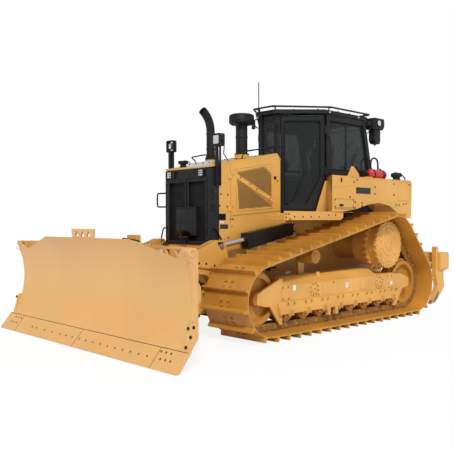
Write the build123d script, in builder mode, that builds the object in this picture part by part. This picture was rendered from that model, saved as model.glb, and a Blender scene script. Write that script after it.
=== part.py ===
from build123d import *
from math import atan2, cos, degrees, hypot, pi, radians, sin, sqrt, tan
import os

# Crawler bulldozer on high-drive tracks, with an angling and tilting blade and a three-shank ripper.
# Millimetres. +X runs forward to the blade, +Y to the driver's left, +Z up. The origin lies on the
# ground below the middle of the machine's length and width.

os.makedirs("parts", exist_ok=True)

# ---- driving sizes ----
front_reach = 3460  # blade's cutting edge ahead of the origin
rear_reach = 3460  # ripper beam's back face behind the origin
running_gap = 0.3  # between a wheel and the chain that lies on it
seat_gap = 0.3  # between fixed pieces that bear on each other
pin_gap = 0.5  # between a hinge pin and its bore
gland_gap = 0.5  # between a cylinder's rod and its barrel

# tracks
track_gauge = 2160
shoe_width = 760
shoe_count = 46
chain_radius = 376  # wheel centre to the line of the chain's pins
plate_rise = 44  # pin line to the inside of a shoe plate
plate_thickness = 20
grouser_height = 60
grouser_foot = 44
grouser_tip = 16
rail_depth = 50  # pin line to the rail that the rollers run on
rail_width = 42
rail_spread = 170  # between the middles of a chain's two rails
idler_height = plate_rise + chain_radius + plate_thickness + grouser_height
front_idler_x = 1600
rear_idler_x = -1720
sprocket_x = -1180
sprocket_z = 1095

# hull
hull_half = 400
hull_bottom = 440
hull_top = 940
hull_front = 1560
hull_rear = -2100
rear_case_top = 1460
rear_case_front = 330
case_end_x = -1500  # where the rear case's top begins to slope
case_end_z = 1180

# hood
hood_half = 470
panel_thickness = 25
guard_front = 1712
guard_depth = 150
guard_bottom = 1148
guard_frame = 85
guard_band_bottom = 1994
hood_nose_z = 2185
hood_rear_x = 437
hood_rear_z = 2426
cowl_x = 361
cowl_z = 2351
seam_x = 1355
door_bottom_front = 1528
door_bottom_rear = 1605
panel_bottom = 945
panel_gap = 6

# cab
floor_z = 1580
floor_thickness = 100
cab_top = 3060
cab_front_x = 120
cab_front_half = 175
cab_side = 680
cab_pillar_x = -410
cab_back_x = -1440  # at the roof
cab_foot_x = -1630  # at the floor
wall = 50
sill_z = 2220
roof_thickness = 60
rail_z = 3160
rail_side = 720
rail_radius = 14
antenna_top = 3570
antenna_x = 160
antenna_y = -150
door_hinge_x = cab_pillar_x + 8
door_hinge_y = cab_side + 7
door_hinge_zs = (2200, 2820)
hood_hinge_zs = (1650, 2080)
knuckle = 60  # height of a hinge's knuckle

# fenders and rear tank
fender_inner = 695
fender_side = 1100
fender_top = 2105
fender_rear = -2140
fender_skirt = 1497
arch_top = 1730
arch_foot = 1590
arch_front = -276
arch_rear = -1680
step_top = 1555
step_thickness = 25
step_front = 984
step_lip_top = 1577
step_lip_bottom = 1467

# blade
mold_half = 1830
edge_overhang = 90  # cutting edge past the moldboard's end
blade_width = 2 * (mold_half + edge_overhang)
edge_lift = 10  # cutting edge above the ground
edge_thickness = 30
mold_foot = (front_reach - 155, 200)
mold_mid = (front_reach - 310, 735)
mold_top = (front_reach - 145, 1270)
mold_thickness = 30
shoulder_half = 900
shoulder_end = 1620
shoulder_z = 1085
end_plate = 40
end_plate_back = front_reach - 360
ear_x = front_reach - 280
ear_z = 1150
ear_radius = 50
truss_x = ear_x - 79
truss_start = shoulder_half + 100

# C-frame
cframe_pivot_x = 400
cframe_pivot_z = 640
arm_inner = 500
arm_width = 140
pivot_radius = 60
ball_x = front_reach - 980
nose_back = ball_x - 600
nose_front = ball_x - 150
nose_bottom = 310
nose_top = 560
ball_z = (nose_bottom + nose_top) / 2
ball_radius = 95
tilt_pin_x = ball_x + 220

# cylinders: pins as (x, y, z)
lift_base = (245, 600, 1360)
lift_eye = (nose_back - 180, 600, 1140)
angle_base = (nose_back + 80, 520, 650)
angle_eye = (ball_x + 310, 880, 650)
tilt_base = (tilt_pin_x, -150, 1180)
tilt_eye = (tilt_pin_x, 700, 1120)
ripper_base = (-2400, 190, 1180)

# ripper
link_front_x = -2400
lower_link_z = 540
upper_link_z = 980
link_y = 380
link_width = 70
beam_depth = 300
beam_bottom = 600
beam_top = 880
beam_half = 1060
shank_y = 980
shank_width = 76
beam_front = -rear_reach + beam_depth
link_rear_x = beam_front + 120
ripper_eye = (link_rear_x, 190, 600)

track_y = track_gauge / 2


# ---- helpers that work in the part that is being built ----
def block(x0, x1, y0, y1, z0, z1, mode=Mode.ADD):
    with Locations(((x0 + x1) / 2, (y0 + y1) / 2, (z0 + z1) / 2)):
        Box(x1 - x0, y1 - y0, z1 - z0, mode=mode)


def side_plate(points, y0, y1, mode=Mode.ADD):
    """A plate seen from the side: points are (x, z)."""
    with BuildSketch(Plane.XZ.offset(-y0)) as outline:
        with BuildLine():
            Polyline(*points, close=True)
        make_face()
    extrude(outline.sketch, amount=y0 - y1, mode=mode)


def floor_plate(points, z0, z1, mode=Mode.ADD):
    """A plate seen from above: points are (x, y)."""
    with BuildSketch(Plane.XY.offset(z0)) as outline:
        with BuildLine():
            Polyline(*points, close=True)
        make_face()
    extrude(outline.sketch, amount=z1 - z0, mode=mode)


def front_plate(points, x0, x1, mode=Mode.ADD):
    """A plate seen from the front: points are (y, z)."""
    with BuildSketch(Plane.YZ.offset(x0)) as outline:
        with BuildLine():
            Polyline(*points, close=True)
        make_face()
    extrude(outline.sketch, amount=x1 - x0, mode=mode)


def cross_rod(x, z, y0, y1, radius, mode=Mode.ADD):
    with Locations(Location((x, (y0 + y1) / 2, z), (90, 0, 0))):
        Cylinder(radius, abs(y1 - y0), mode=mode)


def length_rod(y, z, x0, x1, radius, mode=Mode.ADD):
    with Locations(Location(((x0 + x1) / 2, y, z), (0, 90, 0))):
        Cylinder(radius, abs(x1 - x0), mode=mode)


def post(x, y, z0, z1, radius, mode=Mode.ADD):
    with Locations((x, y, (z0 + z1) / 2)):
        Cylinder(radius, z1 - z0, mode=mode)


def rod_along(start, end, first, last, radius, mode=Mode.ADD):
    """A round bar on the line from start to end, from first to last millimetres along it."""
    axis = (Vector(*end) - Vector(*start)).normalized()
    with BuildSketch(Plane(origin=Vector(*start) + axis * first, z_dir=axis)) as section:
        Circle(radius)
    extrude(section.sketch, amount=last - first, mode=mode)


def mirrored(point):
    return (point[0], -point[1], point[2])


def both_sides():
    mirror(about=Plane.XZ)


def finish(part, name):
    part.label = name
    export_step(part, f"parts/{name}.step")


# ---- tracks ----
# The chain runs round three wheels. Each straight run touches two of them.
wheels = [(front_idler_x, idler_height), (sprocket_x, sprocket_z), (rear_idler_x, idler_height)]


def chain_runs():
    """The chain's line as (length, kind, data), from the front idler's top backwards."""
    runs = []
    count = len(wheels)
    headings = []
    for k in range(count):
        (x0, z0), (x1, z1) = wheels[k], wheels[(k + 1) % count]
        headings.append(atan2(z1 - z0, x1 - x0))
    for k in range(count):
        (x0, z0), (x1, z1) = wheels[k], wheels[(k + 1) % count]
        runs.append((hypot(x1 - x0, z1 - z0), "line", (x0, z0, headings[k])))
        turn = (headings[(k + 1) % count] - headings[k]) % (2 * pi)
        runs.append((turn * chain_radius, "arc", (x1, z1, headings[k])))
    return runs


track_runs = chain_runs()
track_length = sum(run[0] for run in track_runs)
shoe_pitch = track_length / shoe_count


def track_point(distance, offset):
    """The point at a distance along the chain's line and an offset outside it."""
    distance %= track_length
    for length, kind, (x, z, heading) in track_runs:
        if distance <= length:
            break
        distance -= length
    outward = heading - pi / 2
    reach = chain_radius + offset
    if kind == "line":
        x += distance * cos(heading)
        z += distance * sin(heading)
    else:
        outward += distance / chain_radius
    return (x + reach * cos(outward), z + reach * sin(outward))


def loop_face(offset, mode=Mode.ADD):
    """The face inside a smooth loop that follows the chain at an offset from its line."""
    with BuildLine() as loop:
        start = 0
        for length, kind, data in track_runs:
            first = track_point(start, offset)
            last = track_point(start + length, offset)
            if kind == "line":
                Line(first, last)
            else:
                middle = track_point(start + length / 2, offset)
                ThreePointArc(first, middle, last)
            start += length
    make_face(loop.line, mode=mode)


shoe_outline = []
for shoe in range(shoe_count):
    start = shoe * shoe_pitch
    top = plate_rise + plate_thickness
    for along, rise in (
        (0, 0),
        (grouser_foot / 2 - grouser_tip / 2, grouser_height),
        (grouser_foot / 2 + grouser_tip / 2, grouser_height),
        (grouser_foot, 0),
    ):
        shoe_outline.append(track_point(start + along, top + rise))

for side, name in ((1, "track_left"), (-1, "track_right")):
    inner_y = side * track_y - shoe_width / 2
    with BuildPart() as track:
        with BuildSketch(Plane.XZ.offset(-inner_y)):
            with BuildLine():
                Polyline(*shoe_outline, close=True)
            make_face()
            loop_face(plate_rise, Mode.SUBTRACT)
        extrude(amount=-shoe_width)
        for spread in (-rail_spread / 2, rail_spread / 2):
            rail_y = side * track_y + spread - rail_width / 2
            with BuildSketch(Plane.XZ.offset(-rail_y)):
                loop_face(plate_rise + plate_thickness / 2)
                loop_face(-rail_depth, Mode.SUBTRACT)
            extrude(amount=-rail_width)
    finish(track.part, name)

tread_radius = chain_radius - rail_depth - running_gap
tread_width = rail_spread + rail_width
flange_radius = chain_radius - 10
flange_width = rail_spread - rail_width - 30

# ---- wheels inside the tracks ----
roller_radius = 100
carrier_radius = 92
rail_top = idler_height - chain_radius + rail_depth
roller_z = rail_top + roller_radius + running_gap
roller_xs = (1080, 735, 390, 45, -300, -645, -990, -1290)
carrier_x = 484
run_slope = atan2(sprocket_z - idler_height, front_idler_x - sprocket_x)
carrier_line = idler_height + (front_idler_x - carrier_x) * tan(run_slope)
carrier_z = carrier_line + (chain_radius - rail_depth - carrier_radius - running_gap) / cos(run_slope)
frame_outer = 1250  # the roller frames' outer face
frame_inner = 910
axle_radius = 55
hub_half = 120
roller_shaft = 40
carrier_shaft = 35

with BuildPart() as track_idlers:
    for x in (front_idler_x, rear_idler_x):
        cross_rod(x, idler_height, track_y - tread_width / 2, track_y + tread_width / 2, tread_radius)
        cross_rod(x, idler_height, track_y - flange_width / 2, track_y + flange_width / 2, flange_radius)
        for y in (track_y - tread_width / 2, track_y + tread_width / 2 - 60):
            cross_rod(x, idler_height, y, y + 60, tread_radius - 60, Mode.SUBTRACT)
        cross_rod(x, idler_height, track_y - hub_half, track_y + hub_half, 90)
        cross_rod(
            x,
            idler_height,
            track_y - hub_half,
            track_y + hub_half,
            axle_radius + pin_gap,
            Mode.SUBTRACT,
        )
    both_sides()
finish(track_idlers.part, "track_idlers")

with BuildPart() as track_rollers:
    for x in roller_xs:
        cross_rod(x, roller_z, track_y - 120, track_y + 120, roller_radius)
        cross_rod(x, roller_z, frame_inner + 5, frame_outer - 5, roller_shaft)
    cross_rod(carrier_x, carrier_z, track_y - 110, track_y + 130, carrier_radius)
    cross_rod(carrier_x, carrier_z, frame_inner, track_y + 130, carrier_shaft)
    both_sides()
finish(track_rollers.part, "track_rollers")

# ---- final drives: a toothed ring and a wide round housing ----
drive_face = 1275
drive_radius = 340
tooth_count = 23
boss_count = 24
ring_half = 30
with BuildPart() as final_drives:
    with BuildSketch(Plane.XZ.offset(ring_half - track_y)):
        with Locations((sprocket_x, sprocket_z)):
            Circle(chain_radius - 30)
            with PolarLocations(chain_radius - 30, tooth_count):
                Rectangle(60, 46)
    extrude(amount=-2 * ring_half)
    cross_rod(sprocket_x, sprocket_z, track_y - 250, drive_face - 40, drive_radius - 20)
    cross_rod(sprocket_x, sprocket_z, drive_face - 60, drive_face, drive_radius)
    cross_rod(sprocket_x, sprocket_z, hull_half, track_y, 230)
    # bolt bosses round the rim
    with BuildSketch(Plane.XZ.offset(-drive_face)):
        with Locations((sprocket_x, sprocket_z)):
            with PolarLocations(drive_radius - 6, boss_count):
                Circle(22)
    extrude(amount=40)
    both_sides()
finish(final_drives.part, "final_drives")

# ---- roller frames ----
frame_bottom = 420
frame_top = 747
frame_front = 1230
frame_rear = -1340
fork = 42
pivot_shaft_x = -900
pivot_shaft_z = 530
bar_x = 700
bar_z = hull_bottom
frame_shoulder = 664  # the outer face's top edge
guard_low = 286  # roller guards' lower edge
guard_high = 343
guard_out = frame_outer + 42
guard_plate = 32
with BuildPart() as track_frames:
    side_plate(
        [
            (frame_front, frame_bottom),
            (frame_front, frame_top - 12),
            (1055, frame_top),
            (-820, frame_top),
            (-860, frame_shoulder),
            (frame_rear, frame_shoulder),
            (frame_rear, frame_bottom),
        ],
        frame_inner,
        frame_outer,
    )
    # the outer edge of the top slopes down to the outer face
    front_plate(
        [
            (frame_outer - 110, frame_top + 1),
            (frame_outer + 1, frame_shoulder),
            (frame_outer + 1, frame_top + 1),
        ],
        frame_rear - 1,
        frame_front + 1,
        Mode.SUBTRACT,
    )
    # guards hang in front of the rollers on both sides
    front_plate(
        [
            (frame_outer - guard_plate, guard_low),
            (guard_out, guard_low),
            (guard_out, guard_high),
            (frame_outer, frame_bottom + 26),
            (frame_outer - guard_plate, frame_bottom + 26),
        ],
        frame_rear - 52,
        frame_front + 60,
    )
    block(
        frame_rear - 52,
        frame_front + 60,
        frame_inner,
        frame_inner + guard_plate,
        guard_low,
        frame_bottom + 1,
    )
    # wedges behind the front idler and before the rear one
    for y in (frame_inner, frame_outer - guard_plate):
        side_plate([(1210, 160), (1250, 150), (1500, 490), (1410, 505), (1210, 430)], y, y + guard_plate)
        side_plate(
            [(-1340, 160), (-1340, 300), (-1480, 410), (-1600, 430), (-1600, 400), (-1420, 160)],
            y,
            y + guard_plate,
        )
    # outriggers in the middle of the guards
    for x in (135, 300):
        block(x - 30, x + 30, frame_outer - 8, guard_out, 190, guard_low + 40)
    for y in (frame_inner, frame_outer - fork):
        side_plate(
            [
                (1200, frame_bottom),
                (1200, frame_top - 12),
                (1247, frame_top - 12),
                (1660, 560),
                (1660, 440),
                (1500, 400),
            ],
            y,
            y + fork,
        )
        side_plate(
            [(-1300, frame_bottom), (-1300, 650), (-1560, 640), (-1780, 560), (-1780, 440), (-1600, 400)],
            y,
            y + fork,
        )
        for x in roller_xs:
            # the rollers' shaft holders
            edge = y if y > track_y else y + 12
            block(x - 62, x + 62, edge, edge + 30, roller_z - 48, frame_bottom + 5)
    for x in (front_idler_x, rear_idler_x):
        cross_rod(x, idler_height, frame_inner, frame_outer, axle_radius)
    block(carrier_x - 60, carrier_x + 60, frame_inner, frame_inner + 40, frame_top - 5, carrier_z + 60)
    cross_rod(carrier_x, carrier_z, frame_inner, frame_outer, carrier_shaft + pin_gap, Mode.SUBTRACT)
    for x in roller_xs:
        cross_rod(x, roller_z, frame_inner - 1, guard_out + 1, roller_shaft + pin_gap, Mode.SUBTRACT)
    cross_rod(pivot_shaft_x, pivot_shaft_z, hull_half, frame_inner + 20, 90)
    block(bar_x - 60, bar_x + 60, hull_half, frame_inner + 20, bar_z, bar_z + 50)
    both_sides()
finish(track_frames.part, "track_frames")

# ---- hull ----
guard_back = guard_front - guard_depth
lift_bracket = 90
tow_bore = 25
with BuildPart() as main_frame:
    side_plate(
        [
            (hull_front, 560),
            (hull_front, hull_top),
            (rear_case_front, hull_top),
            (rear_case_front, rear_case_top),
            (case_end_x, rear_case_top),
            (hull_rear, case_end_z),
            (hull_rear, 520),
            (hull_rear + 160, hull_bottom),
            (hull_front - 160, hull_bottom),
        ],
        -hull_half,
        hull_half,
    )
    # the nose under the radiator guard
    block(hull_front - 20, guard_front - 10, -hull_half, hull_half, 560, guard_bottom - seat_gap)
    # pins that the C-frame's arms turn on
    for side in (-1, 1):
        cross_rod(
            cframe_pivot_x,
            cframe_pivot_z,
            side * (hull_half - 20),
            side * (arm_inner + arm_width + 12),
            pivot_radius,
        )
        cross_rod(cframe_pivot_x, cframe_pivot_z, side * (hull_half - 20), side * (arm_inner - 8), 110)
        # brackets for the lift cylinders' rear pins
        base_x, base_y, base_z = lift_base
        near, far = sorted((side * (hull_half - 20), side * (base_y - 68)))
        block(base_x - lift_bracket, base_x + 60, near, far, base_z - 75, base_z + 75)
        cross_rod(base_x, base_z, side * (base_y - 70), side * (base_y + 62), 32)
        cross_rod(base_x, base_z, side * (base_y - 70), side * (base_y - 38), 48)
        cross_rod(base_x, base_z, side * (base_y + 50), side * (base_y + 62), 55)
    # tow clevis under the radiator guard
    for z in (600, 675):
        block(guard_front - 11, guard_front + 85, -60, 60, z, z + 25)
    post(guard_front + 50, 0, 550, 750, tow_bore, Mode.SUBTRACT)
finish(main_frame.part, "main_frame")

# the engine, as one plain block inside the hood
hood_slope = (hood_rear_z - hood_nose_z) / (guard_front - hood_rear_x)


def hood_z(x):
    return hood_nose_z + (guard_front - x) * hood_slope


with BuildPart() as engine:
    block(520, guard_back - 60, -330, 330, hull_top + seat_gap, 2020)
finish(engine.part, "engine_block")

# ---- hood ----
stack_x = 1285
stack_radius = 58
stack_bend_z = 2690
stack_collar = 78
intake_x = 680
intake_radius = 85
intake_collar = 105
collar_height = 40
with BuildPart() as hood_top:
    side_plate(
        [
            (guard_front, hood_z(guard_front)),
            (hood_rear_x, hood_rear_z),
            (cowl_x, cowl_z),
            (cowl_x, cowl_z - 30),
            (hood_rear_x, hood_rear_z - panel_thickness),
            (guard_front, hood_z(guard_front) - panel_thickness),
        ],
        -hood_half,
        hood_half,
    )
    for x, radius in ((stack_x, stack_collar), (intake_x, intake_collar)):
        post(x, 0, hood_z(x) - 15, hood_z(x) + collar_height, radius)
finish(hood_top.part, "hood_top")

side_top_gap = panel_thickness + seat_gap
hood_hinge_x = seam_x - panel_gap / 2
hood_hinge_y = hood_half + 8
panel_inner = hood_half - panel_thickness
with BuildPart() as hood_sides:
    # columns behind the radiator guard
    side_plate(
        [
            (guard_back - seat_gap, panel_bottom),
            (guard_back - seat_gap, hood_z(guard_back - seat_gap) - side_top_gap),
            (seam_x, hood_z(seam_x) - side_top_gap),
            (seam_x, panel_bottom),
        ],
        panel_inner,
        hood_half,
    )
    # fixed panels under the side doors
    side_plate(
        [
            (seam_x - panel_gap, panel_bottom),
            (seam_x - panel_gap, door_bottom_front - panel_gap),
            (cowl_x, door_bottom_rear - panel_gap),
            (cowl_x, panel_bottom),
        ],
        panel_inner,
        hood_half,
    )
    # front halves of the side doors' hinges
    for z in hood_hinge_zs:
        block(hood_hinge_x, seam_x + 50, hood_half - 1, hood_half + 10, z - knuckle, z - seat_gap)
        post(hood_hinge_x, hood_hinge_y, z - knuckle, z - seat_gap, 8)
    both_sides()
    # the fire wall behind the engine
    wall_half = panel_inner - seat_gap
    block(cowl_x - 1, cowl_x + 39, -wall_half, wall_half, hull_top + seat_gap, cowl_z - 31)
finish(hood_sides.part, "hood_sides")

latch_x = 470
for side, name in ((1, "hood_door_left"), (-1, "hood_door_right")):
    front = seam_x - panel_gap
    faces = sorted((side * panel_inner, side * hood_half))
    rise = (door_bottom_rear - door_bottom_front) / (front - cowl_x)
    with BuildPart() as door:
        side_plate(
            [
                (front, door_bottom_front),
                (front, hood_z(front) - side_top_gap),
                (hood_rear_x, hood_rear_z - side_top_gap),
                (cowl_x + 4, cowl_z - 34),
                (cowl_x + 4, door_bottom_rear),
            ],
            *faces,
        )
        # window for the mesh, left as two triangles by a slanting brace
        window = [(1251, 1603), (1251, 2156), (567, 2265), (526, 1650)]
        side_plate(window, *sorted((side * (hood_half - 4), side * (hood_half + 1))), Mode.SUBTRACT)
        side_plate(
            [(1251, 2110), (1251, 2050), (526, 1650), (526, 1710)],
            *sorted((side * (hood_half - 6), side * hood_half)),
        )
        for z in hood_hinge_zs:
            edges = sorted((side * (hood_half - 1), side * (hood_half + 10)))
            block(front - 50, hood_hinge_x, *edges, z, z + knuckle)
            post(hood_hinge_x, side * hood_hinge_y, z, z + knuckle, 8)
    finish(door.part, name)

# ---- radiator guard ----
mesh_half = 380
fan_box_half = 205
fan_box_reach = 115
fan_box_low = 1265
fan_box_high = 1660
with BuildPart() as radiator_guard:
    front_plate(
        [
            (-hood_half, guard_bottom),
            (-hood_half, hood_nose_z - 40),
            (-hood_half + 30, hood_nose_z - side_top_gap),
            (hood_half - 30, hood_nose_z - side_top_gap),
            (hood_half, hood_nose_z - 40),
            (hood_half, guard_bottom),
        ],
        guard_back,
        guard_front,
    )
    block(
        guard_front - 45,
        guard_front + 1,
        -mesh_half,
        mesh_half,
        guard_bottom + 45,
        guard_band_bottom,
        Mode.SUBTRACT,
    )
    block(guard_front - 50, guard_front - 10, -24, 24, guard_bottom + 40, guard_band_bottom + 5)
    with BuildSketch(Plane.XZ.offset(-fan_box_half)) as nose_box:
        with BuildLine():
            Polyline(
                (guard_front - 46, fan_box_low),
                (guard_front + 20, fan_box_low),
                (guard_front + fan_box_reach, fan_box_low + 75),
                (guard_front + fan_box_reach, fan_box_high - 85),
                (guard_front + 20, fan_box_high - 10),
                (guard_front - 46, fan_box_high),
                close=True,
            )
        make_face()
    extrude(nose_box.sketch, amount=2 * fan_box_half)
    # the box's sides taper to a narrow front
    for side in (-1, 1):
        floor_plate(
            [
                (guard_front + 20, side * (fan_box_half + 1)),
                (guard_front + fan_box_reach + 1, side * 90),
                (guard_front + fan_box_reach + 1, side * (fan_box_half + 1)),
            ],
            fan_box_low - 5,
            fan_box_high + 5,
            Mode.SUBTRACT,
        )
    for y in (-360, 250):
        block(guard_front - 5, guard_front + 25, y, y + 110, 2045, 2140)
finish(radiator_guard.part, "radiator_guard")

grille_back = guard_front - 45 + seat_gap
grille_front = guard_front - 32
with BuildPart() as grille:
    for side in (-1, 1):
        edges = sorted((side * (24 + seat_gap), side * (mesh_half - seat_gap)))
        low, high = fan_box_low - seat_gap, fan_box_high + seat_gap
        block(grille_back, grille_front, *edges, guard_bottom + 45 + seat_gap, low)
        block(grille_back, grille_front, *edges, high, guard_band_bottom - seat_gap)
        edges = sorted((side * (fan_box_half + seat_gap), side * (mesh_half - seat_gap)))
        block(grille_back, grille_front, *edges, low, high)
finish(grille.part, "grille")

# ---- exhaust and air intake ----
stack_foot = hood_z(stack_x) + collar_height + seat_gap
with BuildPart() as exhaust:
    with BuildLine(Plane.XZ) as pipe_line:
        Line((stack_x, stack_foot), (stack_x, stack_bend_z))
        JernArc(start=(stack_x, stack_bend_z), tangent=(0, 1), radius=335, arc_size=-55)
    with BuildSketch(Plane(origin=(stack_x, 0, stack_foot))):
        Circle(stack_radius)
    sweep(path=pipe_line.line)
finish(exhaust.part, "exhaust_stack")

with BuildPart() as precleaner:
    post(intake_x, 0, hood_z(intake_x) + collar_height + seat_gap, 2850, intake_radius)
    post(intake_x, 0, 2849, 2880, 165)
    post(intake_x, 0, 2879, 2975, 183)
    with Locations((intake_x, 0, 2994)):
        Cone(183, 120, 40)
finish(precleaner.part, "precleaner")

# ---- cab ----
# The plan: a narrow windscreen, doors slanting back to the side pillars, then straight sides.
# A door's own plane is set by its hinge pillar and the windscreen's corner.
door_run = hypot(cab_front_x - cab_pillar_x, cab_side - cab_front_half)
door_angle = atan2(cab_side - cab_front_half, cab_front_x - cab_pillar_x)
lean = (cab_back_x - cab_foot_x) / (cab_top - sill_z)


def back_x(z):
    """The cab's back wall leans forward above the sill."""
    return cab_foot_x + lean * max(0, z - sill_z)


with BuildPart() as cab_floor:
    floor_plate(
        [
            (cab_front_x, -cab_front_half),
            (cab_front_x, cab_front_half),
            (cab_pillar_x, cab_side),
            (cab_foot_x, cab_side),
            (cab_foot_x, -cab_side),
            (cab_pillar_x, -cab_side),
        ],
        floor_z - floor_thickness,
        floor_z,
    )
    # rubber mounts' beam down to the hull
    block(
        -1450,
        50,
        -hull_half + 20,
        hull_half - 20,
        rear_case_top + seat_gap,
        floor_z - floor_thickness + 1,
    )
finish(cab_floor.part, "cab_floor")

with BuildPart() as cab_posts:
    for side in (-1, 1):
        front = side * cab_front_half
        floor_plate(
            [
                (cab_front_x, front - side * 55),
                (cab_front_x, front),
                (cab_front_x - 38, front + side * 36),
                (cab_front_x - 75, front),
                (cab_front_x - 75, front - side * 55),
            ],
            floor_z,
            cab_top,
        )
        block(
            cab_pillar_x - 105,
            cab_pillar_x - 38,
            *sorted((side * (cab_side - 70), side * cab_side)),
            floor_z,
            cab_top,
        )
        side_plate(
            [
                (cab_foot_x, floor_z),
                (cab_foot_x, sill_z),
                (cab_back_x, cab_top),
                (cab_back_x + 90, cab_top),
                (cab_foot_x + 90, sill_z),
                (cab_foot_x + 90, floor_z),
            ],
            *sorted((side * (cab_side - 70), side * cab_side)),
        )
        # lower halves of the door hinges
        for z in door_hinge_zs:
            edges = sorted((side * (cab_side - 1), side * (door_hinge_y + 9)))
            block(cab_pillar_x - 60, door_hinge_x, *edges, z - knuckle, z - seat_gap)
            post(door_hinge_x, side * door_hinge_y, z - knuckle, z - seat_gap, 13)
finish(cab_posts.part, "cab_posts")

front_inner = cab_front_half - 55 - seat_gap
with BuildPart() as cab_walls:
    for side in (-1, 1):
        faces = sorted((side * (cab_side - wall), side * cab_side))
        block(cab_foot_x + 90 + seat_gap, cab_pillar_x - 105 - seat_gap, *faces, floor_z, sill_z)
        side_plate(
            [
                (back_x(2970) + 90 + seat_gap, 2970),
                (back_x(cab_top) + 90 + seat_gap, cab_top),
                (cab_pillar_x - 105 - seat_gap, cab_top),
                (cab_pillar_x - 105 - seat_gap, 2970),
            ],
            *faces,
        )
    block(
        cab_foot_x,
        cab_foot_x + wall,
        -cab_side + 70 + seat_gap,
        cab_side - 70 - seat_gap,
        floor_z,
        sill_z,
    )
    # the dash wall under the windscreen
    block(cab_front_x - wall, cab_front_x, -front_inner, front_inner, floor_z, 2300)
finish(cab_walls.part, "cab_walls")

glass = 8
glass_gap = 0.3
with BuildPart() as cab_windows:
    for side in (-1, 1):
        faces = sorted((side * (cab_side - 29), side * (cab_side - 21)))
        side_plate(
            [
                (cab_foot_x + 90 + glass_gap, sill_z + glass_gap),
                (back_x(2970) + 90 + glass_gap, 2970 - glass_gap),
                (cab_pillar_x - 105 - glass_gap, 2970 - glass_gap),
                (cab_pillar_x - 105 - glass_gap, sill_z + glass_gap),
            ],
            *faces,
        )
    side_plate(
        [
            (cab_foot_x + 20, sill_z + glass_gap),
            (cab_back_x + 20, cab_top - glass_gap),
            (cab_back_x + 28, cab_top - glass_gap),
            (cab_foot_x + 28, sill_z + glass_gap),
        ],
        -cab_side + 70 + glass_gap,
        cab_side - 70 - glass_gap,
    )
    block(
        cab_front_x - 29,
        cab_front_x - 21,
        -front_inner,
        front_inner,
        2300 + glass_gap,
        cab_top - glass_gap,
    )
finish(cab_windows.part, "cab_windows")

with BuildPart() as cab_roof:
    floor_plate(
        [
            (cab_front_x + 60, -cab_front_half - 20),
            (cab_front_x + 60, cab_front_half + 20),
            (cab_pillar_x + 20, cab_side + 10),
            (cab_back_x - 40, cab_side + 10),
            (cab_back_x - 40, -cab_side - 10),
            (cab_pillar_x + 20, -cab_side - 10),
        ],
        cab_top,
        cab_top + roof_thickness,
    )
finish(cab_roof.part, "cab_roof")

with BuildPart() as roof_rails:
    loop = [
        (225, 195),
        (-490, rail_side),
        (-1520, rail_side),
    ]
    corners = loop + [(x, -y) for x, y in reversed(loop)]
    with BuildLine() as rail_line:
        FilletPolyline(*[(x, y, rail_z) for x, y in corners], radius=50, close=True)
    with BuildSketch(Plane(origin=(-1520, 0, rail_z), z_dir=(0, 1, 0))):
        Circle(rail_radius)
    sweep(path=rail_line.line)
    for side in (-1, 1):
        for x, y in ((130, 160), (-520, 660), (-1430, 660)):
            post(x, side * y, cab_top + roof_thickness, rail_z, 10)
        rod_along((130, side * 160, rail_z), (215, side * 187, rail_z), 0, 80, 10)
        rod_along((-520, side * 660, rail_z), (-520, side * rail_side, rail_z), 0, 55, 10)
        rod_along((-1430, side * 660, rail_z), (-1430, side * rail_side, rail_z), 0, 55, 10)
    post(antenna_x, antenna_y, cab_top + roof_thickness, antenna_top, 7)
finish(roof_rails.part, "roof_rails")

# ---- cab doors: t runs along the door from the hinge pillar to the windscreen ----
door_thickness = 45
hinge_offset = 12


def door_plane(side, depth):
    """A plane on the door's face, moved in by depth. Its x runs to the front, its y up."""
    along = Vector(cos(door_angle), -side * sin(door_angle), 0)
    outward = Vector(sin(door_angle), side * cos(door_angle), 0)
    origin = Vector(cab_pillar_x, side * cab_side, 0) - outward * depth
    normal = along.cross(Vector(0, 0, 1))
    return Plane(origin=origin, x_dir=along, z_dir=normal)


door_end = door_run - 60
door_outline = [(16, 3040), (door_end, 3040), (door_end, 1612), (158, 1612), (16, 2078)]
glass_outline = [
    (72, 2962),
    (door_end - 50, 2962),
    (door_end - 50, 1690),
    (300, 1690),
    (100, 2040),
    (72, 2120),
]
for side, name in ((1, "left"), (-1, "right")):
    # the sketch plane's normal points right, so it looks outward on the left door only from behind
    outward_sign = door_plane(side, 0).z_dir.dot(Vector(sin(door_angle), side * cos(door_angle), 0))
    step = 1 if outward_sign > 0 else -1
    with BuildPart() as cab_door:
        with BuildSketch(door_plane(side, 0)):
            with BuildLine():
                Polyline(*door_outline, close=True)
            make_face()
            with BuildLine():
                Polyline(*glass_outline, close=True)
            make_face(mode=Mode.SUBTRACT)
        extrude(amount=-step * door_thickness)
        for z in door_hinge_zs:
            with BuildSketch(door_plane(side, -9)):
                with BuildLine():
                    Polyline((-1, z), (60, z), (60, z + knuckle), (-1, z + knuckle), close=True)
                make_face()
            extrude(amount=-step * 10)
            post(door_hinge_x, side * door_hinge_y, z, z + knuckle, 13)
    finish(cab_door.part, f"cab_door_{name}")
    with BuildPart() as pane:
        with BuildSketch(door_plane(side, 18)):
            with BuildLine():
                Polyline(*glass_outline, close=True)
            make_face()
            offset(amount=-0.5, kind=Kind.INTERSECTION)
        extrude(amount=-step * glass)
    finish(pane.part, f"door_glass_{name}")

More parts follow.
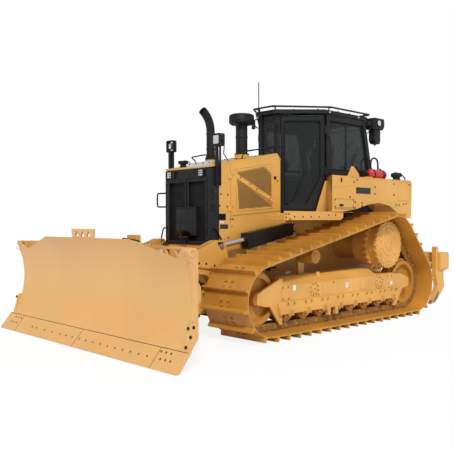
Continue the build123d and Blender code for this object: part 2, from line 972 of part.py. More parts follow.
# ---- inside the cab ----
seat_x = -900
with BuildPart() as seat:
    block(seat_x - 260, seat_x + 260, -250, 250, 1980, 2110)
    side_plate(
        [(seat_x - 250, 2100), (seat_x - 130, 2100), (seat_x - 230, 2780), (seat_x - 340, 2780)],
        -240,
        240,
    )
    block(seat_x - 180, seat_x + 180, -180, 180, floor_z, 1982)
    for y in (-330, 270):
        block(seat_x - 200, seat_x + 180, y, y + 60, 2190, 2250)
        block(seat_x - 200, seat_x - 140, y, y + 60, 2030, 2192)
    for near, far in ((-331, -180), (180, 331)):
        block(seat_x - 200, seat_x - 140, near, far, 1990, 2050)
finish(seat.part, "seat")

with BuildPart() as console:
    block(-80, 40, -150, 150, floor_z, 2160)
    side_plate([(-80, 2000), (-80, 2160), (-200, 2080), (-200, 2020)], -150, 150)
finish(console.part, "console")

# ---- fenders, step and rear tank ----
with BuildPart() as fenders:
    side_plate(
        [
            (390, arch_foot),
            (-18, fender_top),
            (-2050, fender_top),
            (fender_rear, 2072),
            (fender_rear + 25, fender_skirt),
            (-1900, fender_skirt),
            (-1680, 1597),
            (-1480, 1690),
            (-1195, arch_top),
            (-900, 1700),
            (-600, 1630),
            (arch_front, arch_foot),
        ],
        fender_inner,
        fender_side,
    )
    # the front face follows the door's swing
    floor_plate(
        [(600, 1101), (600, 600), (-500, 600), (-420, 695), (-18, 1101)],
        1500,
        2200,
        Mode.SUBTRACT,
    )
    # toolbox in front of the wheel arch
    block(-526, -49, fender_side - 5, fender_side + 12, arch_foot + 45, 1782)
    both_sides()
finish(fenders.part, "fenders")

case_slope = (rear_case_top - case_end_z) / (case_end_x - hull_rear)


def case_z(x):
    return rear_case_top - (case_end_x - x) * case_slope


with BuildPart() as fuel_tank:
    side_plate(
        [
            (-1640, case_z(-1640) + seat_gap),
            (-1640, 2070),
            (-1700, 2100),
            (-2080, 2100),
            (-2140, 2050),
            (-2115, case_z(-2115) + seat_gap),
        ],
        -fender_inner + seat_gap,
        fender_inner - seat_gap,
    )
finish(fuel_tank.part, "fuel_tank")

with BuildPart() as steps:
    floor_plate(
        [
            (step_front, 705),
            (step_front, fender_side),
            (arch_front, fender_side),
            (arch_front, 568),
            (60, 248),
            (230, 248),
            (230, 705),
        ],
        step_top - step_thickness,
        step_top,
    )
    side_plate(
        [
            (step_front, step_lip_top),
            (arch_front, step_lip_top),
            (arch_front, 1500),
            (-200, step_lip_bottom),
            (step_front, step_lip_bottom),
        ],
        fender_side - 22,
        fender_side,
    )
    block(step_front - 20, step_front, 705, fender_side, step_lip_bottom, step_top)
    block(100, 230, 250, hull_half - 5, rear_case_top + seat_gap, step_top - step_thickness + 1)
    both_sides()
finish(steps.part, "steps")

# ---- lamps, tank for the fire extinguisher, handles ----
lamp_x = 1595  # posts on the hood's nose
with BuildPart() as work_lamps:
    for side in (-1, 1):
        # posts on the hood's nose
        edges = sorted((side * (hood_half + seat_gap), side * (hood_half + 41)))
        block(lamp_x - 40, lamp_x + 40, *edges, 1915, 2440)
        block(
            lamp_x - 50,
            lamp_x + 50,
            *sorted((side * (hood_half - 49), side * (hood_half + 101))),
            2425,
            2600,
        )
        # clusters at the cab's rear corners
        block(cab_back_x - 130, cab_back_x - 35, *sorted((side * 640, side * 740)), 2990, cab_top)
        block(cab_back_x - 430, cab_back_x - 120, *sorted((side * 600, side * 760)), 2930, 3125)
        block(cab_back_x - 330, cab_back_x - 170, *sorted((side * 620, side * 750)), 2700, 2932)
finish(work_lamps.part, "work_lamps")

extinguisher_radius = 80
extinguisher_z = fender_top + extinguisher_radius + 6
with BuildPart() as extinguisher:
    length_rod(850, extinguisher_z, -1700, -1250, extinguisher_radius)
    length_rod(850, extinguisher_z, -1250, -1180, 35)
    for x in (-1600, -1350):
        block(x - 25, x + 25, 790, 910, fender_top + seat_gap, extinguisher_z - 60)
finish(extinguisher.part, "extinguisher")

# bent bars: side of the machine, then points (x, y, z)
bar_foot = hood_half + seat_gap
fender_foot = fender_top + seat_gap
handles = [
    # name, end, corner, corner, end
    ("hood upper", (1650, bar_foot, 1860), (1650, 545, 1860), (1650, 545, 1660), (1650, bar_foot, 1660)),
    (
        "fender rear",
        (-1930, 900, fender_foot),
        (-1930, 900, 2240),
        (-2045, 900, 2240),
        (-2045, 900, fender_foot),
    ),
]
with BuildPart() as grab_handles:
    for name, first, corner, next_corner, last in handles:
        for side in (-1, 1):
            points = [(x, side * y, z) for x, y, z in (first, corner, next_corner, last)]
            with BuildLine() as bar:
                FilletPolyline(*points, radius=30)
            start = Vector(*points[0])
            with BuildSketch(Plane(origin=start, z_dir=Vector(*points[1]) - start)):
                Circle(11)
            sweep(path=bar.line)
finish(grab_handles.part, "grab_handles")

# ---- C-frame ----
fork_gap = 40  # half the room for a cylinder's eye between two plates
lug = 22
with BuildPart() as cframe_arms:
    for side in (-1, 1):
        faces = sorted((side * arm_inner, side * (arm_inner + arm_width)))
        side_plate(
            [
                (cframe_pivot_x - 60, 540),
                (cframe_pivot_x - 60, 740),
                (cframe_pivot_x + 60, 760),
                (lift_eye[0] - 200, 790),
                (lift_eye[0], 960),
                (lift_eye[0] + 410, 1030),
                (lift_eye[0] + 435, 815),
                (nose_back + 60, 790),
                (nose_back - 140, 620),
                (nose_back - 40, nose_top),
                (nose_back - seat_gap, nose_top),
                (nose_back - seat_gap, nose_bottom + 60),
                (nose_back - 380, 480),
                (nose_back - 880, 560),
                (cframe_pivot_x + 60, 560),
            ],
            *faces,
        )
        cross_rod(cframe_pivot_x, cframe_pivot_z, *faces, 120)
        cross_rod(cframe_pivot_x, cframe_pivot_z, *faces, pivot_radius + pin_gap, Mode.SUBTRACT)
        # tower plates on both sides of the lift cylinder's eye
        eye_x, eye_y, eye_z = lift_eye
        for y in (eye_y - fork_gap - lug, eye_y + fork_gap):
            edges = sorted((side * y, side * (y + lug)))
            side_plate(
                [
                    (eye_x - 160, 800),
                    (eye_x - 80, eye_z + 10),
                    (eye_x - 10, eye_z + 75),
                    (eye_x + 90, eye_z + 75),
                    (eye_x + 430, eye_z - 55),
                    (eye_x + 430, 900),
                ],
                *edges,
            )
finish(cframe_arms.part, "cframe_arms")

fork_plate = 40
with BuildPart() as cframe_nose:
    block(nose_back, nose_front - 100, -arm_inner - arm_width, arm_inner + arm_width, nose_bottom, nose_top)
    floor_plate(
        [(nose_front - 101, -360), (nose_front - 101, 360), (nose_front, 160), (nose_front, -160)],
        nose_bottom,
        nose_top,
    )
    # fork plates above and below the ball
    for z in (nose_bottom, nose_top - fork_plate):
        floor_plate(
            [(nose_front - 1, -150), (nose_front - 1, 150), (ball_x, 57), (ball_x, -57)],
            z,
            z + fork_plate,
        )
        post(ball_x, 0, z, z + fork_plate, 57)
    post(ball_x, 0, nose_bottom, nose_top, 42)
    # brackets for the angle cylinders' rear pins
    for side in (-1, 1):
        x, y, z = angle_base
        block(nose_back + 5, x + 50, *sorted((side * (y - 50), side * (y + 50))), nose_top - 1, z - 62)
        post(x, side * y, z - 63, z + 60, 28)
finish(cframe_nose.part, "cframe_nose")

# ---- swivel between C-frame and blade ----
mast_back = ball_x + 62
mast_front = ball_x + 140
bar_bottom = 735
bar_top = 815
fork_front = angle_eye[0] + 76
with BuildPart() as swivel:
    with Locations((ball_x, 0, ball_z)):
        Cylinder(ball_radius, nose_top - nose_bottom - 2 * fork_plate - 2 * pin_gap)
    block(ball_x + 40, mast_back + 10, -90, 90, ball_z - 60, ball_z + 60)
    front_plate(
        [(-130, 300), (-130, 560), (-90, 1290), (90, 1290), (130, 560), (130, 300)],
        mast_back,
        mast_front,
    )
    # tilt pin
    length_rod(0, ball_z, mast_front - 5, mast_front + 120, 60)
    # pin of the tilt cylinder
    length_rod(tilt_base[1], tilt_base[2], mast_back + 5, tilt_base[0] + 45, 28)
    block(mast_back + 5, mast_front, -205, -60, tilt_base[2] - 60, tilt_base[2] + 60)
    # crossbar with the angle cylinders' forks at its ends
    x, y, z = angle_eye
    block(mast_back + 3, mast_front - 2, -y - 50, y + 50, bar_bottom, bar_top)
    for side in (-1, 1):
        block(
            mast_back + 3,
            fork_front + lug,
            *sorted((side * (y - 50), side * (y + 50))),
            bar_bottom,
            bar_top,
        )
        edges = sorted((side * (y - 60), side * (y + 60)))
        block(fork_front, fork_front + lug, *edges, z - fork_gap - lug, bar_top)
        for near in (z - fork_gap - lug, z + fork_gap):
            block(x - 45, fork_front + 1, *edges, near, near + lug)
    post(ball_x, 0, ball_z - 200, ball_z + 200, 42 + pin_gap, Mode.SUBTRACT)
finish(swivel.part, "blade_swivel")

# ---- blade ----
blade_back = front_reach - 600
box_back = front_reach - 560
rib_back = front_reach - 500


def face_x(z):
    """Front of the moldboard at a height: the circle through its three points."""
    rise = (mold_top[1] - mold_foot[1]) / 2
    depth = (mold_foot[0] + mold_top[0]) / 2 - mold_mid[0]
    radius = (rise**2 + depth**2) / (2 * depth)
    lean = (mold_top[0] - mold_foot[0]) / (mold_top[1] - mold_foot[1])
    height = z - mold_mid[1]
    return mold_mid[0] + radius - sqrt(radius**2 - height**2) + lean * height


with BuildPart() as moldboard:
    with BuildSketch(Plane.XZ.offset(mold_half)) as mold_section:
        with BuildLine():
            ThreePointArc(mold_foot, mold_mid, mold_top)
            Line(mold_top, (mold_top[0] - mold_thickness, mold_top[1]))
            ThreePointArc(
                (mold_top[0] - mold_thickness, mold_top[1]),
                (mold_mid[0] - mold_thickness, mold_mid[1]),
                (mold_foot[0] - mold_thickness, mold_foot[1]),
            )
            Line((mold_foot[0] - mold_thickness, mold_foot[1]), mold_foot)
        make_face()
    extrude(mold_section.sketch, amount=-2 * mold_half)
    # end plates, straight at the back
    for y in (-mold_half, mold_half - end_plate):
        with BuildSketch(Plane.XZ.offset(-y)) as end_section:
            with BuildLine():
                ThreePointArc(mold_foot, mold_mid, mold_top)
                Polyline(
                    mold_top,
                    (end_plate_back, mold_top[1]),
                    (end_plate_back, mold_foot[1] + 100),
                    (mold_foot[0] - 60, mold_foot[1]),
                    mold_foot,
                )
            make_face()
        extrude(end_section.sketch, amount=-end_plate)
    # the top edge falls away to both sides
    for side in (-1, 1):
        front_plate(
            [
                (side * shoulder_half, mold_top[1] + 1),
                (side * shoulder_end, shoulder_z),
                (side * (mold_half - 45), 1200),
                (side * (mold_half + 1), 1160),
                (side * (mold_half + 1), mold_top[1] + 1),
            ],
            box_back,
            front_reach,
            Mode.SUBTRACT,
        )
        # lifting ear on the end plate
        ear = sorted((side * (mold_half - end_plate), side * mold_half))
        cross_rod(ear_x, ear_z, *ear, ear_radius)
        cross_rod(ear_x, ear_z, *ear, 18, Mode.SUBTRACT)
        # plate with three-cornered holes behind the sloping edge
        truss = [
            (truss_start, 1050),
            (mold_half - 35, 1040),
            (mold_half - 35, 1180),
            (mold_half - 130, 1200),
            (truss_start, 1205),
        ]
        front_plate([(side * y, z) for y, z in truss], truss_x, truss_x + 18)
        for y in (truss_start + 180, truss_start + 330, truss_start + 480):
            hole = [(y, 1170), (y + 110, 1170), (y + 55, 1080)]
            front_plate([(side * a, z) for a, z in hole], truss_x - 5, truss_x + 25, Mode.SUBTRACT)
        edges = sorted((side * (truss_start - 40), side * (truss_start + 1)))
        block(truss_x, face_x(1060) - mold_thickness / 2, *edges, 1060, 1190)
    # spill guard on the middle of the top edge
    front_plate([(-230, 1268), (-250, 1372), (250, 1372), (230, 1268)], mold_top[0] - 26, mold_top[0] - 4)
    for y in (-130, 0, 130):
        front_plate(
            [(y - 45, 1285), (y, 1350), (y + 45, 1285)],
            mold_top[0] - 40,
            mold_top[0] + 10,
            Mode.SUBTRACT,
        )
    # box along the back, end plates and ribs
    side_plate(
        [
            (front_reach - 320, 560),
            (front_reach - 320, 900),
            (front_reach - 510, 860),
            (box_back, 780),
            (box_back, 620),
        ],
        190 - mold_half,
        mold_half - 190,
    )
    for y in (-1240, -640, 610, 1210):
        side_plate(
            [(face_x(z) - mold_thickness / 2, z) for z in range(215, 1115, 75)]
            + [
                (ear_x, 1100),
                (rib_back, 860),
                (rib_back, 560),
                (front_reach - 260, 215),
            ],
            y,
            y + 30,
        )
    # hub round the tilt pin, and its web to the back of the blade
    length_rod(0, ball_z, mast_front + 6, blade_back, 130)
    side_plate(
        [
            (mast_front + 60, 330),
            (mast_front + 60, 520),
            (front_reach - 570, 660),
            (front_reach - 400, 660),
            (front_reach - 360, 500),
            (front_reach - 310, 330),
        ],
        -120,
        120,
    )
    length_rod(0, ball_z, mast_front, mast_front + 125, 60 + pin_gap, Mode.SUBTRACT)
    # plates for the tilt cylinder's eye
    x, y, z = tilt_eye
    block(x + 40, x + 62, y - 60, y + 60, z - 60, z + 60)
    block(x + 61, rib_back, y - 30, y + 30, 820, z + 60)
finish(moldboard.part, "blade_moldboard")

with BuildPart() as cutting_edge:
    side_plate(
        [
            (front_reach, edge_lift),
            (mold_foot[0], mold_foot[1] - seat_gap),
            (mold_foot[0] - edge_thickness * 1.4, mold_foot[1] - seat_gap),
            (front_reach - edge_thickness * 1.4, edge_lift),
        ],
        -blade_width / 2,
        blade_width / 2,
    )
    # end bits wrap round the blade's lower corners
    for side in (-1, 1):
        edges = sorted((side * (mold_half + seat_gap), side * (mold_half + 20)))
        side_plate(
            [
                (front_reach, edge_lift),
                mold_foot,
                (front_reach - 225, 455),
                (front_reach - 335, 468),
                (front_reach - 340, 300),
                (front_reach - 140, 46),
                (front_reach - edge_thickness * 1.4, edge_lift),
            ],
            *edges,
        )
finish(cutting_edge.part, "cutting_edge")


# ---- cylinders ----
def barrel(start, end, first, length, radius, eye_radius, hole, eye_axis):
    """A barrel from its base eye at start, and nothing past length."""
    rod_along(start, end, first, length, radius)
    rod_along(start, end, length - 30, length, radius + 10)
    eye(start, eye_radius, eye_axis)
    rod_along(start, end, eye_radius + 8, length + 5, hole, Mode.SUBTRACT)


def eye(centre, radius, axis, half=34):
    with BuildSketch(Plane(origin=Vector(*centre) - Vector(*axis) * half, z_dir=axis)) as disc:
        Circle(radius)
    extrude(disc.sketch, amount=2 * half)


def bore(centre, radius, axis):
    with BuildSketch(Plane(origin=Vector(*centre) - Vector(*axis) * 80, z_dir=axis)) as disc:
        Circle(radius)
    extrude(disc.sketch, amount=160, mode=Mode.SUBTRACT)


def span(start, end):
    return (Vector(*end) - Vector(*start)).length


# name, base, end, radius, rod radius, barrel length, eye radius, pin radius, pin axis
lift_barrel_length = span(lift_base, lift_eye) - 471.5
lift_guard = (75, lift_barrel_length - 10)  # the cover's ends along the cylinder
lift_guard_top = 78
lift_guard_bottom = -125
lift_guard_half = 64
with BuildPart() as lift_barrels:
    for side in (-1, 1):
        start, end = lift_base, lift_eye
        if side < 0:
            start, end = mirrored(start), mirrored(end)
        axis = (Vector(*end) - Vector(*start)).normalized()
        corners = []
        for along, rise in (
            (lift_guard[0], lift_guard_bottom * 0.7),
            (lift_guard[0], lift_guard_top),
            (lift_guard[1], lift_guard_top),
            (lift_guard[1], lift_guard_bottom),
        ):
            corner_x = start[0] + axis.X * along - axis.Z * rise
            corner_z = start[2] + axis.Z * along + axis.X * rise
            corners.append((corner_x, corner_z))
        side_plate(corners, start[1] - lift_guard_half, start[1] + lift_guard_half)
        barrel(start, end, 60, lift_barrel_length, 62, 62, 35 + gland_gap, (0, 1, 0))
        bore(start, 32 + pin_gap, (0, 1, 0))
finish(lift_barrels.part, "lift_barrels")

with BuildPart() as lift_rods:
    for side in (-1, 1):
        start, end = lift_base, lift_eye
        if side < 0:
            start, end = mirrored(start), mirrored(end)
        rod_along(start, end, lift_barrel_length - 580, span(start, end) - 30, 35)
        eye(end, 58, (0, 1, 0))
finish(lift_rods.part, "lift_rods")

angle_barrel_length = 580
for side, name in ((1, "left"), (-1, "right")):
    start, end = angle_base, angle_eye
    if side < 0:
        start, end = mirrored(start), mirrored(end)
    with BuildPart() as angle_barrel:
        barrel(start, end, 40, angle_barrel_length, 60, 62, 35 + gland_gap, (0, 0, 1))
        bore(start, 28 + pin_gap, (0, 0, 1))
    finish(angle_barrel.part, f"angle_barrel_{name}")
    with BuildPart() as angle_rod:
        rod_along(start, end, 312, span(start, end) - 25, 35)
        eye(end, 44, (0, 0, 1))
    finish(angle_rod.part, f"angle_rod_{name}")

with BuildPart() as tilt_barrel:
    barrel(tilt_base, tilt_eye, 40, 600, 58, 56, 30 + gland_gap, (1, 0, 0))
    bore(tilt_base, 28 + pin_gap, (1, 0, 0))
finish(tilt_barrel.part, "tilt_barrel")

with BuildPart() as tilt_rod:
    rod_along(tilt_base, tilt_eye, 220, span(tilt_base, tilt_eye) - 25, 30)
    eye(tilt_eye, 50, (1, 0, 0))
finish(tilt_rod.part, "tilt_rod")

# ---- ripper ----
link_pin = 30
with BuildPart() as ripper_mount:
    side_plate(
        [
            (hull_rear - seat_gap, 470),
            (hull_rear - seat_gap, 1080),
            (-2260, 1280),
            (-2330, 1280),
            (-2330, 470),
        ],
        -hull_half,
        hull_half,
    )
    for side in (-1, 1):
        for z in (lower_link_z, upper_link_z):
            for y in (link_y - link_width / 2 - 24, link_y + link_width / 2 + 4):
                block(-2460, -2329, *sorted((side * y, side * (y + 20))), z - 55, z + 55)
            cross_rod(link_front_x, z, side * (link_y - 59), side * (link_y + 59), link_pin)
        x, y, z = ripper_base
        for near in (y - 60, y + 38):
            block(x - 50, -2329, *sorted((side * near, side * (near + 22))), z - 55, z + 60)
        cross_rod(x, z, side * (y - 60), side * (y + 60), 28)
    for z in (470, 545):
        block(hull_rear - 320, -2329, -60, 60, z, z + 25)
    post(hull_rear - 285, 0, 400, 600, tow_bore, Mode.SUBTRACT)
finish(ripper_mount.part, "ripper_mount")

for name, z in (("lower", lower_link_z), ("upper", upper_link_z)):
    with BuildPart() as links:
        for side in (-1, 1):
            faces = sorted((side * (link_y - link_width / 2), side * (link_y + link_width / 2)))
            block(link_rear_x, link_front_x, *faces, z - 45, z + 45)
            for x in (link_front_x, link_rear_x):
                cross_rod(x, z, *faces, 52)
                cross_rod(x, z, *faces, link_pin + pin_gap, Mode.SUBTRACT)
    finish(links.part, f"ripper_{name}_links")

with BuildPart() as ripper_beam:
    block(-rear_reach, beam_front, -beam_half, beam_half, beam_bottom, beam_top)
    for side in (-1, 1):
        for y in (link_y - link_width / 2 - 24, link_y + link_width / 2 + 4):
            side_plate(
                [
                    (beam_front - 1, beam_bottom),
                    (beam_front - 1, upper_link_z + 60),
                    (link_rear_x + 55, upper_link_z + 60),
                    (link_rear_x + 55, upper_link_z - 60),
                    (link_rear_x - 20, 760),
                    (link_rear_x + 55, lower_link_z + 60),
                    (link_rear_x + 55, lower_link_z - 60),
                    (beam_front - 1, lower_link_z - 60),
                ],
                *sorted((side * y, side * (y + 20))),
            )
        for z in (lower_link_z, upper_link_z):
            cross_rod(link_rear_x, z, side * (link_y - 59), side * (link_y + 59), link_pin)
        x, y, z = ripper_eye
        for near in (y - fork_gap - lug, y + fork_gap):
            block(beam_front - 1, x + 22, *sorted((side * near, side * (near + lug))), z - 20, z + 26)
finish(ripper_beam.part, "ripper_beam")

shank_bottom = 12
with BuildPart() as ripper_shanks:
    for y in (-shank_y, 0, shank_y):
        side_plate(
            [
                (beam_front + seat_gap, 1000),
                (beam_front + 82, 1000),
                (beam_front + 82, 500),
                (beam_front + 20, 330),
                (beam_front + 80, 210),
                (beam_front + 222, shank_bottom),
                (beam_front + 40, 90),
                (beam_front - 100, 180),
                (beam_front - 220, 300),
                (beam_front - 185, 500),
                (beam_front - 185, beam_bottom - seat_gap),
                (beam_front + seat_gap, beam_bottom - seat_gap),
            ],
            y - shank_width / 2,
            y + shank_width / 2,
        )
finish(ripper_shanks.part, "ripper_shanks")

with BuildPart() as ripper_barrels:
    for side in (-1, 1):
        start, end = ripper_base, ripper_eye
        if side < 0:
            start, end = mirrored(start), mirrored(end)
        barrel(start, end, 78, span(start, end) - 311.7, 55, 58, 30 + gland_gap, (0, 1, 0))
        rod_along(start, end, 40, 80, 34)
        bore(start, 28 + pin_gap, (0, 1, 0))
finish(ripper_barrels.part, "ripper_barrels")

with BuildPart() as ripper_rods:
    for side in (-1, 1):
        start, end = ripper_base, ripper_eye
        if side < 0:
            start, end = mirrored(start), mirrored(end)
        rod_along(start, end, span(start, end) - 527.7, span(start, end) - 25, 30)
        eye(end, 46, (0, 1, 0))
finish(ripper_rods.part, "ripper_rods")
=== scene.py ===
import bpy
import bmesh
import math
from mathutils import Matrix, Vector


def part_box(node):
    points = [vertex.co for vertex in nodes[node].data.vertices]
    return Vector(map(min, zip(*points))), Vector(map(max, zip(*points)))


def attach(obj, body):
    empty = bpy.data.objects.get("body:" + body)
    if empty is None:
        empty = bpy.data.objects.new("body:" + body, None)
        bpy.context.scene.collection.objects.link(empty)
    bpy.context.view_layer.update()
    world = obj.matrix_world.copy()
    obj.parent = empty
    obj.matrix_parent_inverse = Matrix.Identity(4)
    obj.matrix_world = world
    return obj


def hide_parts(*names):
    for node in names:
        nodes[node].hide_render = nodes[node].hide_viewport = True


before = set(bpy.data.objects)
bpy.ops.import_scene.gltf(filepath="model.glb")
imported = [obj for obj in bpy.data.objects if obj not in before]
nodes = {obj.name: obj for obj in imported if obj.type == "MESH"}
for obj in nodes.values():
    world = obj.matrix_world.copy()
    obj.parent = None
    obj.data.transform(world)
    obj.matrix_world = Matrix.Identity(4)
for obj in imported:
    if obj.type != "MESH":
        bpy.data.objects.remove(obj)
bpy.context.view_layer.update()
mmToMetres = 0.001       # forms are written in millimetres
sides = ((1, "Left"), (-1, "Right"))   # turn from the middle plane and a word for names

print("stage: camera, floor and lights")
cameraValues = {
    "place": (7.1921, 6.5704, 1.4568),
    "yaw": 46.595,       # degrees from straight back along the machine
    "pitch": -0.518,
    "roll": -0.182,
    "lens": 50.384,
    "sensor": 36,        # mm wide
    "clip": (0.1, 200),
}
stageValues = {
    "floorColour": (0.98, 0.98, 0.98),
    "floorReach": 60,    # metres
    "floorDrop": 0.002,
    "floorGlow": 0.86,   # the rest keeps a faint shadow on the floor
    "skyColour": (0.93, 0.96, 1.0),
    "skyStrength": 0.52,
    "sunStrength": 2.25,
    "sunAngle": 9.0,     # degrees, the softness of the shadow's edge
    "sunFrom": (0.52, 0.60, 0.74),   # towards the key light
}


def makeCamera(values):
    yaw, pitch = math.radians(values["yaw"]), math.radians(values["pitch"])
    ahead = Vector((-math.cos(yaw) * math.cos(pitch), -math.sin(yaw) * math.cos(pitch), math.sin(pitch)))
    right = ahead.cross(Vector((0, 0, 1))).normalized()
    up = right.cross(ahead)
    turn = Matrix((right, up, -ahead)).transposed().to_4x4()
    data = bpy.data.cameras.new("shopCamera")
    data.lens = values["lens"]
    data.sensor_width = values["sensor"]
    data.clip_start, data.clip_end = values["clip"]
    camera = bpy.data.objects.new("shopCamera", data)
    roll = Matrix.Rotation(math.radians(values["roll"]), 4, "Z")
    camera.matrix_world = Matrix.Translation(values["place"]) @ turn @ roll
    bpy.context.scene.collection.objects.link(camera)
    bpy.context.scene.camera = camera


def makeStage(values):
    scene = bpy.context.scene
    scene.view_settings.view_transform = "Standard"
    world = bpy.data.worlds.new("studio")
    scene.world = world
    world.use_nodes = True
    tree = world.node_tree
    tree.nodes.clear()
    out = tree.nodes.new("ShaderNodeOutputWorld")
    mix = tree.nodes.new("ShaderNodeMixShader")
    sky = tree.nodes.new("ShaderNodeBackground")
    sky.inputs["Color"].default_value = (*values["skyColour"], 1)
    sky.inputs["Strength"].default_value = values["skyStrength"]
    white = tree.nodes.new("ShaderNodeBackground")
    white.inputs["Color"].default_value = (1, 1, 1, 1)
    paths = tree.nodes.new("ShaderNodeLightPath")
    most = tree.nodes.new("ShaderNodeMath")
    most.operation = "MAXIMUM"
    tree.links.new(paths.outputs["Is Camera Ray"], most.inputs[0])
    tree.links.new(paths.outputs["Is Transmission Ray"], most.inputs[1])
    tree.links.new(most.outputs[0], mix.inputs[0])
    tree.links.new(sky.outputs[0], mix.inputs[1])
    tree.links.new(white.outputs[0], mix.inputs[2])
    tree.links.new(mix.outputs[0], out.inputs[0])

    mesh = bpy.data.meshes.new("floor")
    reach = values["floorReach"]
    mesh.from_pydata([(-reach, -reach, 0), (reach, -reach, 0), (reach, reach, 0), (-reach, reach, 0)], [],
                     [(0, 1, 2, 3)])
    floor = bpy.data.objects.new("floor", mesh)
    floor.location.z = -values["floorDrop"]
    scene.collection.objects.link(floor)
    paint = bpy.data.materials.new("floorWhite")
    paint.use_nodes = True
    tree = paint.node_tree
    shader = tree.nodes["Principled BSDF"]
    shader.inputs["Base Color"].default_value = (*values["floorColour"], 1)
    shader.inputs["Roughness"].default_value = 0.9
    shader.inputs["Specular IOR Level"].default_value = 0.0
    glow = tree.nodes.new("ShaderNodeEmission")
    glow.inputs["Color"].default_value = (1, 1, 1, 1)
    blend = tree.nodes.new("ShaderNodeMixShader")
    paths = tree.nodes.new("ShaderNodeLightPath")
    share = tree.nodes.new("ShaderNodeMath")
    share.operation = "MULTIPLY"
    share.inputs[1].default_value = values["floorGlow"]
    tree.links.new(paths.outputs["Is Camera Ray"], share.inputs[0])
    tree.links.new(share.outputs[0], blend.inputs[0])
    tree.links.new(shader.outputs[0], blend.inputs[1])
    tree.links.new(glow.outputs[0], blend.inputs[2])
    tree.links.new(blend.outputs[0], tree.nodes["Material Output"].inputs[0])
    mesh.materials.append(paint)

    sun = bpy.data.lights.new("keySun", "SUN")
    sun.energy = values["sunStrength"]
    sun.angle = math.radians(values["sunAngle"])
    lamp = bpy.data.objects.new("keySun", sun)
    lamp.rotation_euler = Vector(values["sunFrom"]).to_track_quat("Z", "Y").to_euler()
    scene.collection.objects.link(lamp)


makeCamera(cameraValues)
makeStage(stageValues)

print("stage: paints, steels, rubber and glass")
finishes = {
    # mottle is how far the colour drifts, grain its scale, shine the specular level (0.5 where left out)
    "bodyYellow": dict(colour=(0.76, 0.395, 0.075), roughness=0.36, coat=0.35, mottle=0.10, grain=14, bump=0.012),
    "bladeYellow": dict(colour=(0.74, 0.41, 0.135), roughness=0.46, coat=0.2, mottle=0.10, grain=5, bump=0.015),
    "trackYellow": dict(colour=(0.57, 0.255, 0.030), roughness=0.5, coat=0.1, mottle=0.22, grain=18, bump=0.03),
    "chassisYellow": dict(colour=(0.74, 0.375, 0.075), roughness=0.45, coat=0.15, mottle=0.16, grain=12, bump=0.02),
    "frameBlack": dict(colour=(0.0135, 0.014, 0.0145), roughness=0.38, coat=0.04, mottle=0.3, grain=16, bump=0.012,
                       shine=0.28),
    "grilleGrey": dict(colour=(0.022, 0.022, 0.023), roughness=0.5, coat=0.0, mottle=0.3, grain=30, bump=0.02,
                       shine=0.3),
    "exhaustBlack": dict(colour=(0.012, 0.012, 0.0125), roughness=0.55, coat=0.0, mottle=0.35, grain=20, bump=0.03,
                         shine=0.3),
    "matPlastic": dict(colour=(0.017, 0.017, 0.018), roughness=0.6, coat=0.0, mottle=0.2, grain=60, bump=0.02,
                       shine=0.3),
    "rubberBlack": dict(colour=(0.010, 0.010, 0.0105), roughness=0.75, coat=0.0, mottle=0.25, grain=80, bump=0.03,
                        shine=0.25),
    "bottleRed": dict(colour=(0.55, 0.018, 0.03), roughness=0.25, coat=0.5, mottle=0.08, grain=12, bump=0.006),
    "bareSteel": dict(colour=(0.42, 0.40, 0.37), roughness=0.38, metal=1.0, mottle=0.25, grain=30, bump=0.02),
    "boltDark": dict(colour=(0.022, 0.020, 0.018), roughness=0.45, metal=0.4, mottle=0.2, grain=50, bump=0.01,
                     shine=0.3),
    "rodChrome": dict(colour=(0.82, 0.83, 0.85), roughness=0.12, metal=1.0, mottle=0.05, grain=40, bump=0.004),
    "plateWhite": dict(colour=(0.85, 0.85, 0.83), roughness=0.4, coat=0.1, mottle=0.05, grain=20, bump=0.004),
    "plateBlack": dict(colour=(0.012, 0.012, 0.013), roughness=0.3, coat=0.2, mottle=0.1, grain=20, bump=0.004),
    "seamShade": dict(colour=(0.10, 0.045, 0.012), roughness=0.6, coat=0.0, mottle=0.15, grain=30, bump=0.01),
    "seatCloth": dict(colour=(0.035, 0.036, 0.04), roughness=0.85, coat=0.0, mottle=0.3, grain=120, bump=0.06,
                      shine=0.2),
    "liningGrey": dict(colour=(0.10, 0.10, 0.105), roughness=0.85, coat=0.0, mottle=0.2, grain=90, bump=0.04,
                       shine=0.2),
    "tagYellow": dict(colour=(0.75, 0.70, 0.05), roughness=0.4, coat=0.1, mottle=0.05, grain=20, bump=0.004),
    # chain links: a darker amber that paints the shade inside the tracks
    "chainPaintedShade": dict(colour=(0.30, 0.135, 0.026), roughness=0.5, coat=0.05, mottle=0.3, grain=24, bump=0.04),
    "pinSteel": dict(colour=(0.36, 0.19, 0.045), roughness=0.45, metal=0.0, mottle=0.3, grain=40, bump=0.02),
    "trackBolt": dict(colour=(0.42, 0.20, 0.03), roughness=0.5, coat=0.0, mottle=0.2, grain=40, bump=0.02),
    "wornSteel": dict(colour=(0.30, 0.27, 0.23), roughness=0.5, metal=0.8, mottle=0.35, grain=30, bump=0.04),
    "meshShade": dict(colour=(0.16, 0.085, 0.025), roughness=0.7, coat=0.0, mottle=0.2, grain=30, bump=0.01),
    "paleGrey": dict(colour=(0.50, 0.50, 0.49), roughness=0.42, coat=0.15, mottle=0.08, grain=14, bump=0.01),
    "lampReflector": dict(colour=(0.8, 0.8, 0.82), roughness=0.2, metal=0.9, mottle=0.05, grain=90, bump=0.02),
}
paints = {}


